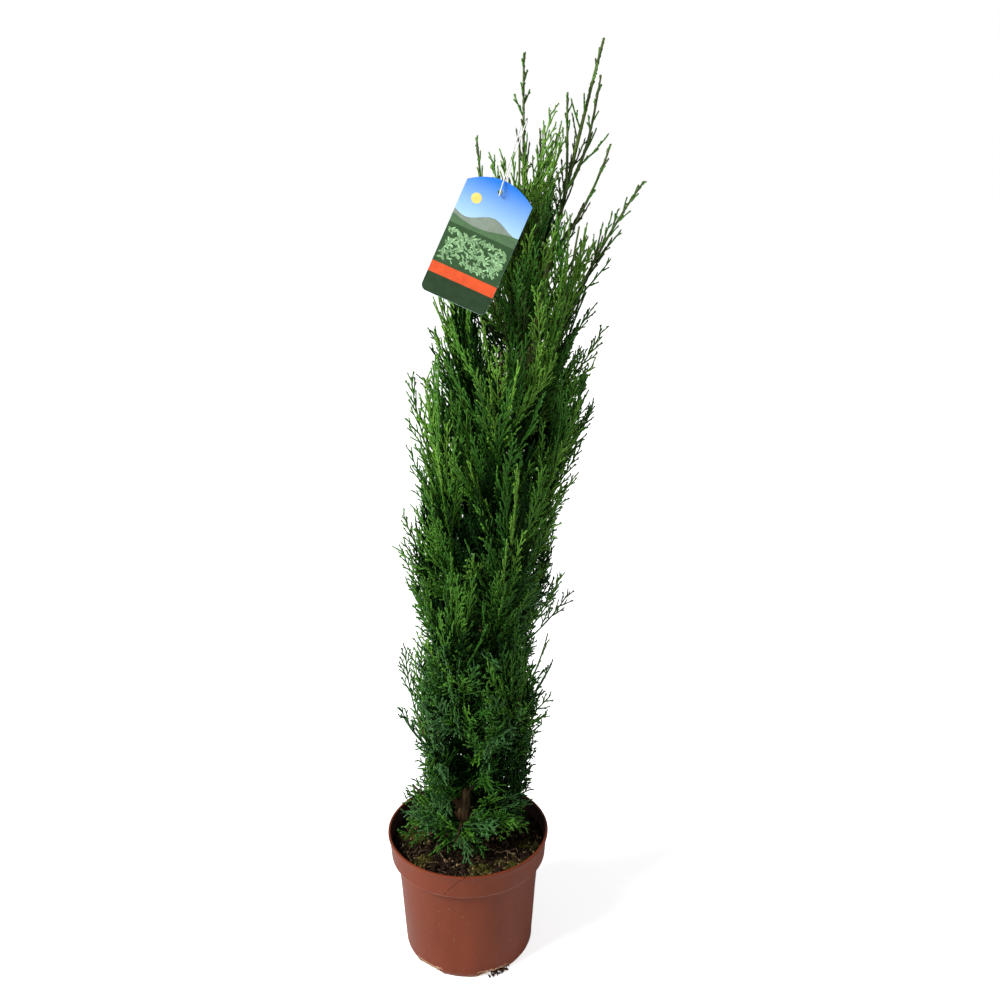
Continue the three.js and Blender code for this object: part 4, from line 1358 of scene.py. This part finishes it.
def trunk_shoots(rng):
    """Side shoots all the way up the trunk, shorter towards its tip."""
    foot, head, rows = TRUNK_SHOOTS_FOOT, TRUNK_SHOOTS_HEAD, []
    for k in range(TRUNK_SHOOTS):
        z = blend(foot, head, k / TRUNK_SHOOTS) + rng.uniform(0, 0.01)
        root = trunk_at(z)
        out = np.array(polar(1, k * GOLDEN_ANGLE + 0.4 + rng.uniform(-0.3, 0.3)))
        length = rng.uniform(0.7, 1.1) * np.interp(
            z, [foot, 0.45, 0.72, 0.80, 0.88, head], [0.070, 0.105, 0.115, 0.070, 0.045, 0.016]
        )
        lean = rng.uniform(0.5, 1.0) * np.interp(z, [foot, 0.4, 0.7, head], [2.4, 1.8, 1.2, 0.42])
        heading = unit(UP + out * lean + (0.06, 0, 0))
        bend, tip = bent_shoot(root, heading, length, 0.5)
        is_open = z > TRUNK_OPEN_HEIGHT and k % 3
        if not is_open and is_clear(np.array([bend, tip])):
            face = turned_face(out, heading, 0.8)
            sparse = float(smoothstep(z, SPARSE_LOW, SPARSE_HIGH))
            rows.append((root, bend, tip, face, SHOOT_RADIUS, fan_share(z, rng), sparse))
    return rows


def recess_shoots(rng):
    """Short shoots close before the trunk, in the shade above the hollow."""
    rows = []
    for _ in range(RECESS_SHOOTS):
        root = trunk_at(rng.uniform(RECESS_LOW, RECESS_HIGH))
        turn, span = math.radians(rng.uniform(-165, -15)), rng.uniform(0.014, 0.028)
        tip = root + polar(span, turn, rng.uniform(0.025, 0.050))
        bend = (root + tip) / 2 + polar(0.005, turn)
        if is_clear(np.array([bend, tip])):
            side = np.array(polar(1, turn + 0.5, 0.3))
            face = turned_face(side, unit(tip - root), rng.uniform(-0.6, 0.6))
            rows.append((root, bend, tip, face, SHOOT_RADIUS, 1.0, 0.0))
    return rows


def wood_places():
    """Points on the limbs and the trunk that shoots may grow from."""
    trunk = [trunk_at(z) for z in np.arange(0.21, 0.90, 0.008)]
    return np.array(trunk + [limb.at(t) for limb in LIMBS for t in np.linspace(0.1, 0.8, 20)])


def shoot_to(point, woods, rng):
    """A shoot from the wood that lies best below a point, up to it."""
    off, fan = point - woods, fan_share(point[2], rng)
    sideways, rise = np.hypot(off[:, 0], off[:, 1]), off[:, 2]
    steep = sideways / np.maximum(rise, 0.001) + 8 * np.abs(rise - blend(0.085, 0.035, fan))
    root = woods[np.where(rise > 0.012, steep, 9.0).argmin()]
    span, heading = float(np.linalg.norm(point - root)), unit(point - root)
    bend = (root + point) / 2 + unit((point - root) * (1, 1, 0)) * span * 0.10
    side = unit(np.array([-heading[1], heading[0], 0.2]))
    face = turned_face(side, heading, rng.uniform(-1.4, 1.4))
    return root, bend, point, face, SHOOT_RADIUS, fan, 0.0


def gap_shoots(rows, rng):
    """Shoots that grow into the parts of the crown that the others leave empty."""
    woods, grown = wood_places(), []
    roots, bends, tips = (np.array([row[k] for row in rows]) for k in range(3))
    taken = np.concatenate([(roots + bends) / 2, bends, (bends + tips) / 2, tips])
    for _ in range(GAP_TRIES):
        z = blend(GAP_LOW, GAP_HIGH, rng.random())
        x, y, _ = polar(1, any_turn(rng))
        across, deep = side_shares(x, y, z)
        reach = float(crown_reach(z)) * math.sqrt(rng.random()) * 0.93
        point = np.array([crown_axis(z) + reach * x * across, reach * y * deep, z])
        if np.linalg.norm(taken - point, axis=1).min() < np.interp(z, *GAP_SIZES):
            continue
        row = shoot_to(point, woods, rng)
        if is_clear(np.array([row[1], point])):
            grown.append(row)
            taken = np.concatenate([taken, [row[1], (row[1] + point) / 2, point]])
    return grown


def stem_runs():
    """The bare stems of the leaders and of the trunk's top, cut in short runs that bear nubs."""
    paths = [
        (limb.at, limb.growth.bough_share, 1.0, limb.length, 0.0014)
        for limb in LIMBS if limb.growth.sparse
    ]
    paths.append((trunk_at, BARE_TRUNK, TRUNK_TOP - 0.002, TRUNK_TOP - BARE_TRUNK, 0.0018))
    rows, normal = [], np.array([0.5, -1.0, 0.0])
    for at, start, end, length, radius in paths:
        shares = np.linspace(start, end, max(2, round(length / STEM_RUN)) + 1)
        for a, b in zip(shares, shares[1:]):
            rows.append((*run_along(at, a, b, normal, a * 40), radius, 0.0, 1.0))
    return rows


def twigs_from(rows, first_shoot=0):
    return Twigs(*map(np.array, zip(*rows)), first_shoot + np.arange(len(rows)))


def crown_shoots(seed):
    """All shoots of the crown: on the limbs, on the trunk, and in the gaps."""
    rng, woods = random.Random(seed + 77), wood_places()
    rows = [row for index, limb in enumerate(LIMBS) for row in grow_shoots(index, limb, seed)]
    rows += trunk_shoots(rng) + recess_shoots(rng)
    outer = [shoot_to(np.array(tip), woods, rng) for tip in OUTER_TIPS]
    rows += gap_shoots(rows + outer, rng)
    kept = [row for row in rows if not beside_hollow(row) and not thinned(row, rng)]
    return twigs_from(kept + outer)


def bud(parents, rng, spacing, first, angle, share, shortest, radius, curl):
    """Twigs on alternate sides of their parents, in the parents' planes.

    spacing, angle, share and radius are for a feathery shoot, for a fan and for a bare
    leader. share is the length of the longest twigs as a share of the parent's.
    """
    gap = parents.by_kind(*spacing)
    counts = np.maximum((parents.length * (1 - first) / gap).astype(int), 1)
    owner = np.repeat(np.arange(len(parents)), counts)
    order = np.arange(len(owner)) - np.repeat(np.cumsum(counts) - counts, counts)
    t = first + (1 - first) * (order + 0.5 + rng.uniform(-0.28, 0.28, len(owner))) / counts[owner]
    t, own = np.clip(t, 0, 0.97), parents.only(owner)
    place, ahead = own.at(t), own.ahead(t)
    side = np.where((order + owner) % 2, 1.0, -1.0)[:, None]
    lean = np.radians(own.by_kind(*angle) + rng.uniform(-8, 8, len(own)))[:, None]
    across = unit(np.cross(own.face, ahead)) * side
    off_plane = own.face * rng.uniform(-0.42, 0.42, (len(own), 1))
    heading = unit(ahead * np.cos(lean) + (across + off_plane) * np.sin(lean))
    profile = np.interp(t, [0, 0.25, 0.6, 1], [0.7, 1.0, 0.72, 0.28])
    length = own.length * own.by_kind(*share) * profile * rng.uniform(0.7, 1.2, len(own))
    bend = place + heading * (length * 0.5)[:, None]
    tip = bend + unit(heading + ahead * curl + UP * 0.06) * (length * 0.5)[:, None]
    tilt = heading * (rng.uniform(-0.5, 0.5, len(own)) - (own.face * heading).sum(1))[:, None]
    grown = Twigs(
        place - heading * 0.0004, bend, tip, unit(own.face + tilt), own.by_kind(*radius), own.fan,
        own.sparse, own.shoot,
    )
    return grown.only(length > shortest)


def within_reach(twigs, margin=0.013):
    """Skips twigs that would leave the crown's space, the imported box, or cross pot or tag."""
    tips = twigs.tip
    keep = in_box(tips) & clear_of_pot(tips) & clear_of_tag(tips) & clear_of_tag(twigs.bend)
    ratio, foot_ratio = crown_ratio(tips), crown_ratio(twigs.root)
    beyond = (ratio - 1) * crown_reach(tips[:, 2])
    keep &= (beyond < margin) | (ratio < foot_ratio + 0.15) | (twigs.sparse > 0.5)
    return twigs.only(keep & clear_of_hollow(tips))


def twig_arrays(twigs, segments):
    """Knobbly three-sided twigs: every ring is turned half a side, as the pairs of scales are."""
    count, size = len(twigs), segments * 3 + 4
    points = np.empty((count, size, 3))
    for k, share in enumerate(np.linspace(0, 0.93, segments + 1)):
        t, knob = np.full(count, share), 1.16 if k % 2 else 0.86
        centre, ahead = twigs.at(t), twigs.ahead(t)
        side = unit(np.cross(twigs.face, ahead))
        normal = np.cross(ahead, side)
        radius = (twigs.radius * (1 - 0.24 * share) * knob)[:, None]
        for corner in range(3):
            u, v, _ = polar(1, 2 * math.pi * (corner + 0.5 * (k % 2)) / 3)
            points[:, k * 3 + corner] = centre + radius * (side * u + normal * v)
    points[:, -1] = twigs.tip
    faces = [(0, 2, 1)]
    for k in range(segments):
        a, b = k * 3, k * 3 + 3
        for j, n in ((0, 1), (1, 2), (2, 0)):
            if k % 2 == 0:
                faces += [(a + j, a + n, b + j), (a + n, b + n, b + j)]
            else:
                faces += [(a + j, a + n, b + n), (a + j, b + n, b + j)]
    faces += [(segments * 3 + j, segments * 3 + n, size - 1) for j, n in ((0, 1), (1, 2), (2, 0))]
    return points.reshape(-1, 3), numbered(np.array(faces), count, size)


def share_out(levels, chosen):
    """The chosen shoots with all their twigs, in as few pieces as the triangle limit allows."""
    def part(shoots):
        return [(group.only(np.isin(group.shoot, shoots)), rings) for group, rings in levels]

    triangles = sum(len(group) * (6 * rings + 4) for group, rings in part(chosen))
    return [part(some) for some in np.array_split(chosen, triangles // PIECE_TRIANGLES + 1)]


def shoot_light(shoots, rng):
    """Painted light: how bright a shoot's colour is made, most for outer, upper and low front ones.
    """
    outer, y, z = np.clip(crown_ratio(shoots.tip), 0, 1.1), shoots.tip[:, 1], shoots.tip[:, 2]
    low_front = np.clip(-y / 0.06, 0, 1) * (1 - smoothstep(z, 0.19, 0.23))
    lit = 0.60 * outer + 0.30 * z + 0.20 * low_front + 0.10 * smoothstep(z, 0.78, 0.86)
    return lit + 0.36 * rng.random(len(shoots))


def foliage_finishes(settings, shoots, stems, rng):
    """Deals the shoots out by spray, as (name, colour, shoots).

    Fans low down are cooler, shoots higher up fresher, and the leaders' stems are olive. Within
    each group the colours paint shade and light: the least lit shoots take the darkest one.
    """
    light, top, fans = shoot_light(shoots, rng), shoots.sparse > 0.5, shoots.fan > 0.5
    for place, group in (("low", fans & ~top), ("high", ~fans & ~top), ("top", top)):
        group = np.flatnonzero(group)
        ranked, start = group[np.argsort(light[group])], 0
        for finish, end in FINISHES[place].items():
            end = round(end * len(ranked))
            stem_shoots = stems.shoot if finish == "olive" else stems.shoot[:0]
            color = getattr(settings, f"{finish}_color")
            yield f"{place}_{finish}", color, np.concatenate([ranked[start:end], stem_shoots])
            start = end


class CYPRESS_OT_foliage(bpy.types.Operator):
    """Grows shoots, twigs and scale-leaved twiglets on the limbs by the seeded rule"""

    bl_idname = "cypress.foliage"
    bl_label = "Foliage"

    def execute(self, context):
        settings = context.scene.cypress_foliage
        thick, rng = settings.twig_radius, np.random.default_rng(settings.seed)
        shoots = crown_shoots(settings.seed)
        stems = twigs_from(stem_runs(), len(shoots))
        twigs = within_reach(bud(
            shoots, rng, spacing=(0.0066, 0.0062, 0.0100), first=0.05, angle=(21, 42, 26),
            share=(0.28, 0.40, 0.26), shortest=0.004, curl=0.35,
            radius=(thick * 1.35, thick * 1.45, thick * 1.5),
        ))
        nubs = within_reach(bud(
            stems, rng, spacing=(0.006, 0.006, 0.0075), first=0.0, angle=(22, 22, 22),
            share=(0.2, 0.2, 0.28), shortest=0.002, curl=0.5, radius=[NUB_RADIUS] * 3,
        ))
        twiglets = within_reach(bud(
            twigs, rng, spacing=(0.0058, 0.0050, 0.0055), first=0.14, angle=(24, 42, 28),
            share=(0.37, 0.38, 0.34), shortest=0.0026, curl=0.20,
            radius=(thick * 1.25, thick * 1.42, thick * 1.40),
        ))
        levels = ((shoots, 9), (stems, 9), (twigs, 3), (nubs, 2), (twiglets, 1))
        for name, color, chosen in foliage_finishes(settings, shoots, stems, rng):
            # outer shoots shine a little, the ones in the shade hardly at all
            gloss = SHADE_GLOSS if name.endswith("shade") else LEAF_GLOSS
            material = shaded_material(
                f"cypress_{name}", color, 1.3, 0.6, 380.0, 0.45, bump=0.35, depth=0.0004,
                gloss=gloss,
            )
            for number, part in enumerate(share_out(levels, chosen), 1):
                piece = f"foliage_{name}_{number}"
                arrays = [twig_arrays(group, rings) for group, rings in part if len(group)]
                finish_piece(piece, joined(arrays), [material], MASS_NODES)
        return {"FINISHED"}


# ---------------- hang tag

PRINT_MARGIN, CORNER = 0.0001, 0.006
PRINTED_LEAVES = 230
VARNISH = {"Coat_Weight": 0.4, "Coat_Roughness": 0.15}


def arc(x, y, radius, start, end, steps):
    """Points round (x, y) from one turn to another, in degrees."""
    turns = [math.radians(blend(start, end, k / steps)) for k in range(steps + 1)]
    return [(x + radius * math.cos(turn), y + radius * math.sin(turn)) for turn in turns]


def tag_outline(inset=0.0):
    """The card's outline: rounded lower corners and an arched top edge."""
    w, h, c = TAG_WIDTH / 2 - inset, TAG_HEIGHT / 2 - inset, CORNER - inset
    xs = [blend(w, -w, k / 16) for k in range(17)]
    top = [(x, h - TAG_TOP_ARC * (x / w) ** 2) for x in xs]
    return arc(c - w, c - h, c, -180, -90, 6) + arc(w - c, c - h, c, -90, 0, 6) + top


def print_shape(bm, outline, level, lift):
    """One flat printed shape on the card's face, as thick as its ink."""
    corners = [bm.verts.new((x, y, CARD_HALF + lift * level)) for x, y in outline]
    push_faces(bm, [bm.faces.new(corners)], (0, 0, lift))


def strip(bottom, top, swell=0.0, waves=0.0, start=0.0, steps=12):
    """A shape across the card, whose top edge may rise and fall in waves."""
    half = TAG_WIDTH / 2 - PRINT_MARGIN
    xs = [blend(-half, half, k / steps) for k in range(steps + 1)]
    crest = [(x, top + swell * math.sin(x * waves + start)) for x in reversed(xs)]
    return [(x, bottom) for x in xs] + crest


def card_foot(top):
    """The foot of the card, inside its rounded lower corners."""
    half = TAG_WIDTH / 2 - PRINT_MARGIN
    return [(x, y) for x, y in tag_outline(PRINT_MARGIN) if y < 0] + [(half, top), (-half, top)]


def leaf_outline(x, y, size, turn):
    """A pointed leaf, broad near its stalk."""
    outline, (along_x, along_y, _) = [], polar(1, turn)
    for k in range(10):
        u, v, _ = polar(size, 2 * math.pi * k / 10)
        v *= 0.30 * (1 - 0.35 * u / size)
        outline.append((x + u * along_x - v * along_y, y + u * along_y + v * along_x))
    return outline


def scattered_leaves():
    """Leaves in two greens on the printed field: a level and an outline each."""
    rng, leaves = random.Random(3), {"leaves": [], "young_leaves": []}
    half = TAG_WIDTH / 2 - 0.004
    for k in range(PRINTED_LEAVES):
        x, y = rng.uniform(-half, half), rng.uniform(-0.0275, 0.0025)
        turn = rng.uniform(0.5, 1.3) * rng.choice((-1, 1)) + math.pi / 2
        outline = leaf_outline(x, y, rng.uniform(0.0018, 0.0038), turn)
        leaves["leaves" if k % 3 else "young_leaves"].append((3 + k % 3, outline))
    return leaves


def ink(name, color):
    return mottled_material(
        name, shade(color, 1.08, 0.004), shade(color, 0.9), 160.0, 0.3, **VARNISH
    )


def card_material(settings):
    """White card whose face is printed with a plain sky, paler towards the hills."""
    material = start_material("printed_card", (0.9, 0.9, 0.88), 0.3, **VARNISH)
    tree = material.node_tree
    place = add_node(tree, "UVMap", uv_map="card").outputs["UV"]
    height = add_node(tree, "SeparateXYZ", place).outputs["Y"]
    share = spread(tree, height, From_Min=0.62, From_Max=0.97)
    dress(material, Base_Color=mix_colors(tree, share, settings.sky_low, settings.sky_high))
    return material


def card_shape():
    """The card with its hole, printed on the side that faces forwards."""
    bm, back = bmesh.new(), -CARD_HALF
    corners = [bm.verts.new((x, y, back)) for x, y in tag_outline()]
    hole = bmesh.ops.create_circle(bm, segments=20, radius=HOLE_RADIUS)["verts"]
    bmesh.ops.translate(bm, verts=hole, vec=(0, TAG_HOLE_Y, back))
    ring = [bm.edges.new(pair) for pair in zip(corners, corners[1:] + corners[:1])]
    round_hole = list({edge for vert in hole for edge in vert.link_edges})
    bmesh.ops.triangle_fill(bm, edges=ring + round_hole, use_beauty=True)
    push_faces(bm, list(bm.faces), (0, 0, 2 * CARD_HALF))
    bmesh.ops.recalc_face_normals(bm, faces=bm.faces)
    layer = bm.loops.layers.uv.new("card")
    for face in bm.faces:
        face.material_index = 0 if face.normal.z > 0.5 else 1
        for loop in face.loops:
            x, y, _ = loop.vert.co
            loop[layer].uv = (x / TAG_WIDTH + 0.5, y / TAG_HEIGHT + 0.5)
    return bm


def hang(name, bm, materials, replaced=()):
    """Moves what was drawn flat to where the tag hangs."""
    bmesh.ops.transform(bm, matrix=TAG_FRAME, verts=bm.verts)
    finish_piece(name, bm, materials, replaced, smooth=False)


def round_path(knots, steps):
    """A smooth closed line through the knots."""
    count, path = len(knots), []
    for k in range(count):
        before, start, end, after = (knots[(k + n) % count] for n in (-1, 0, 1, 2))
        for n in range(steps):
            t = n / steps
            path.append(0.5 * (
                2 * start + (end - before) * t + (2 * before - 5 * start + 4 * end - after) * t * t
                + (3 * start - before - 3 * end + after) * t ** 3
            ))
    return path


class CYPRESS_OT_tag(bpy.types.Operator):
    """Cuts the card, prints its plain landscape and ties it on with its elastic loop"""

    bl_idname = "cypress.tag"
    bl_label = "Hang tag"

    def execute(self, context):
        settings = context.scene.cypress_tag
        white = mottled_material(
            "white_card", (0.88, 0.88, 0.86), (0.80, 0.80, 0.77), 500.0, 0.45
        )
        hang("hang_card", card_shape(), [card_material(settings), white], ["hang_tag"])
        self.print_landscape(settings)
        self.tie_loop()
        return {"FINISHED"}

    def print_landscape(self, settings):
        """A plain landscape: hills under the sky, a field of leaves, a band and a foot."""
        green, leaf, leaves = settings.hill_color, settings.leaf_color, scattered_leaves()
        # name, colour, printed shapes as (level, outline)
        for name, color, shapes in (
            ("far_hills", [blend(c, 0.45, 0.45) for c in green],
             [(0, strip(0.008, 0.021, 0.0045, 120, 1))]),
            ("near_hills", [blend(c, 0.2, 0.15) for c in green],
             [(1, strip(0.006, 0.014, 0.0030, 80, -1))]),
            ("sun", (0.95, 0.72, 0.18), [(0, arc(-0.018, 0.036, 0.0050, 0, 345, 23))]),
            ("field", shade(green, 0.5), [(2, strip(-0.0325, 0.007))]),
            ("leaves", leaf, leaves["leaves"]),
            ("young_leaves", shade(leaf, 1.5, 0.03), leaves["young_leaves"]),
            ("band", settings.band_color, [(3, strip(-0.0425, -0.032))]),
            ("foot", shade(green, 0.28), [(2, card_foot(-0.042))]),
        ):
            bm = bmesh.new()
            for level, outline in shapes:
                print_shape(bm, outline, level, settings.print_lift)
            bmesh.ops.recalc_face_normals(bm, faces=bm.faces)
            hang(f"printed_{name}", bm, [ink(f"ink_{name}", color)])

    def tie_loop(self):
        """The elastic runs through the hole and round the second leader."""
        leader = next(limb for limb in LIMBS if limb.name == "second_leader")
        hole = TAG_FRAME @ Vector((0, TAG_HOLE_Y, 0))
        front = TAG_FRAME @ Vector((0, TAG_HOLE_Y + 0.001, 0.004))
        behind = TAG_FRAME @ Vector((0, TAG_HOLE_Y + 0.001, -0.004)) + Vector((0.002, 0, 0.003))
        t = next(k for k, p in enumerate(leader.samples) if p[2] > hole.z + 0.038) / 12
        hold, wrap = Vector(leader.at(t)), leader.radius(t) + 0.0018
        round_leader = [
            hold + Vector(off) for off in (
                (-wrap, -0.001, -0.006), (-wrap * 0.8, wrap, 0), (wrap, wrap * 0.8, 0.001),
                (wrap, -wrap, -0.002), (0, -wrap - 0.0015, -0.008),
            )
        ]
        path = round_path([hole, front, *round_leader, behind], 16)
        bm = bmesh.new()
        grow_tube(bm, path, [ELASTIC_RADIUS] * len(path), 8, closed=True)
        elastic = mottled_material(
            "white_elastic", (0.88, 0.88, 0.86), (0.70, 0.70, 0.68), 1800.0, 0.5, bump=0.4,
            depth=0.0002,
        )
        finish_piece("elastic_loop", bm, [elastic], ["tag_loop"])


# ---------------- stage


def lay_floor(settings):
    """A floor lifted to the walls' white, and far off fully, so that no horizon shows."""
    bm = bmesh.new()
    bmesh.ops.create_circle(bm, cap_ends=True, segments=96, radius=FLOOR_RADIUS)
    mesh = mesh_from(bm, "floor", smooth=False)
    material = start_material(
        "pale_floor", settings.floor_color, 0.8, Specular_IOR_Level=0.1, Emission_Color=(1, 1, 1)
    )
    tree = material.node_tree
    distance = add_node(tree, "VectorMath", object_place(tree), operation="LENGTH")
    glow = spread(
        tree, distance.outputs["Value"], From_Min=0.5, From_Max=2.5, To_Min=settings.floor_glow,
        To_Max=1.0,
    )
    seen = add_node(tree, "LightPath").outputs["Is Camera Ray"]
    dress(material, Emission_Strength=math_node(tree, "MULTIPLY", glow, seen))
    mesh.materials.append(material)
    floor = place_object("floor", mesh)


def light_room(settings):
    """An even pale room. The camera sees its walls brighter than they light the plant."""
    world = bpy.data.worlds.new("pale_room")
    world.use_nodes = True
    tree = world.node_tree
    lit = tree.nodes["Background"]
    feed(tree, lit.inputs["Color"], (0.96, 0.98, 1.0))
    feed(tree, lit.inputs["Strength"], settings.sky_strength)
    seen = add_node(tree, "Background", Color=(1, 1, 1), Strength=1.0)
    is_seen = add_node(tree, "LightPath").outputs["Is Camera Ray"]
    mix = add_node(tree, "MixShader", is_seen, lit.outputs[0], seen.outputs[0])
    feed(tree, tree.nodes["World Output"].inputs["Surface"], mix.outputs[0])
    bpy.context.scene.world = world
    bpy.context.scene.view_settings.view_transform = "Standard"


def soft_light(name, power, size, place):
    """A square softbox that points at the middle of the plant."""
    light = bpy.data.lights.new(name, "AREA")
    light.energy, light.size = power, size
    aim = PLANT_MIDDLE - Vector(place)
    place_object(name, light, place, aim.to_track_quat("-Z", "Y").to_euler())


def place_camera(settings):
    camera = bpy.data.cameras.new("camera")
    camera.sensor_width, camera.lens, camera.clip_start = 36, settings.lens, 0.02
    bpy.context.scene.camera = place_object(
        "camera", camera, (settings.camera_x, settings.camera_y, settings.camera_z),
        (math.pi / 2 - settings.camera_pitch, 0, 0),
    )


class CYPRESS_OT_stage(bpy.types.Operator):
    """Lays a pale floor, sets soft studio light and places the camera"""

    bl_idname = "cypress.stage"
    bl_label = "Stage"

    def execute(self, context):
        settings = context.scene.cypress_stage
        lay_floor(settings)
        light_room(settings)
        soft_light("key_light", settings.key_power, 1.1, (-1.75, -1.05, 2.0))
        soft_light("fill_light", settings.fill_power, 1.6, (1.9, -1.4, 1.2))
        place_camera(settings)
        return {"FINISHED"}


# ---------------- panel, registration, the run


class CYPRESS_PT_panel(bpy.types.Panel):
    """Lists the plant's pieces, with their sizes and colours"""

    bl_idname = "CYPRESS_PT_panel"
    bl_label = "Potted cypress"
    bl_space_type = "VIEW_3D"
    bl_region_type = "UI"
    bl_category = "Cypress"

    def draw(self, context):
        for operator, attribute, _ in STEPS:
            box = self.layout.box()
            box.operator(operator.bl_idname)
            settings = getattr(context.scene, attribute)
            for name in settings.bl_rna.properties.keys():
                if name not in ("rna_type", "name"):
                    box.prop(settings, name)


# operator, the scene's settings for it, their class
STEPS = [
    (CYPRESS_OT_stage, "cypress_stage", StageSettings),
    (CYPRESS_OT_pot, "cypress_pot", PotSettings),
    (CYPRESS_OT_soil, "cypress_soil", SoilSettings),
    (CYPRESS_OT_wood, "cypress_wood", WoodSettings),
    (CYPRESS_OT_foliage, "cypress_foliage", FoliageSettings),
    (CYPRESS_OT_tag, "cypress_tag", TagSettings),
]


def register():
    for operator, attribute, settings in STEPS:
        bpy.utils.register_class(settings)
        bpy.utils.register_class(operator)
        setattr(bpy.types.Scene, attribute, PointerProperty(type=settings))
    bpy.utils.register_class(CYPRESS_PT_panel)


def unregister():
    bpy.utils.unregister_class(CYPRESS_PT_panel)
    for operator, attribute, settings in reversed(STEPS):
        delattr(bpy.types.Scene, attribute)
        bpy.utils.unregister_class(operator)
        bpy.utils.unregister_class(settings)


def main():
    register()
    bpy.ops.cypress.stage()
    bpy.ops.cypress.pot()
    bpy.ops.cypress.soil()
    bpy.ops.cypress.wood()
    bpy.ops.cypress.foliage()
    bpy.ops.cypress.tag()


if __name__ == "__main__":
    main()
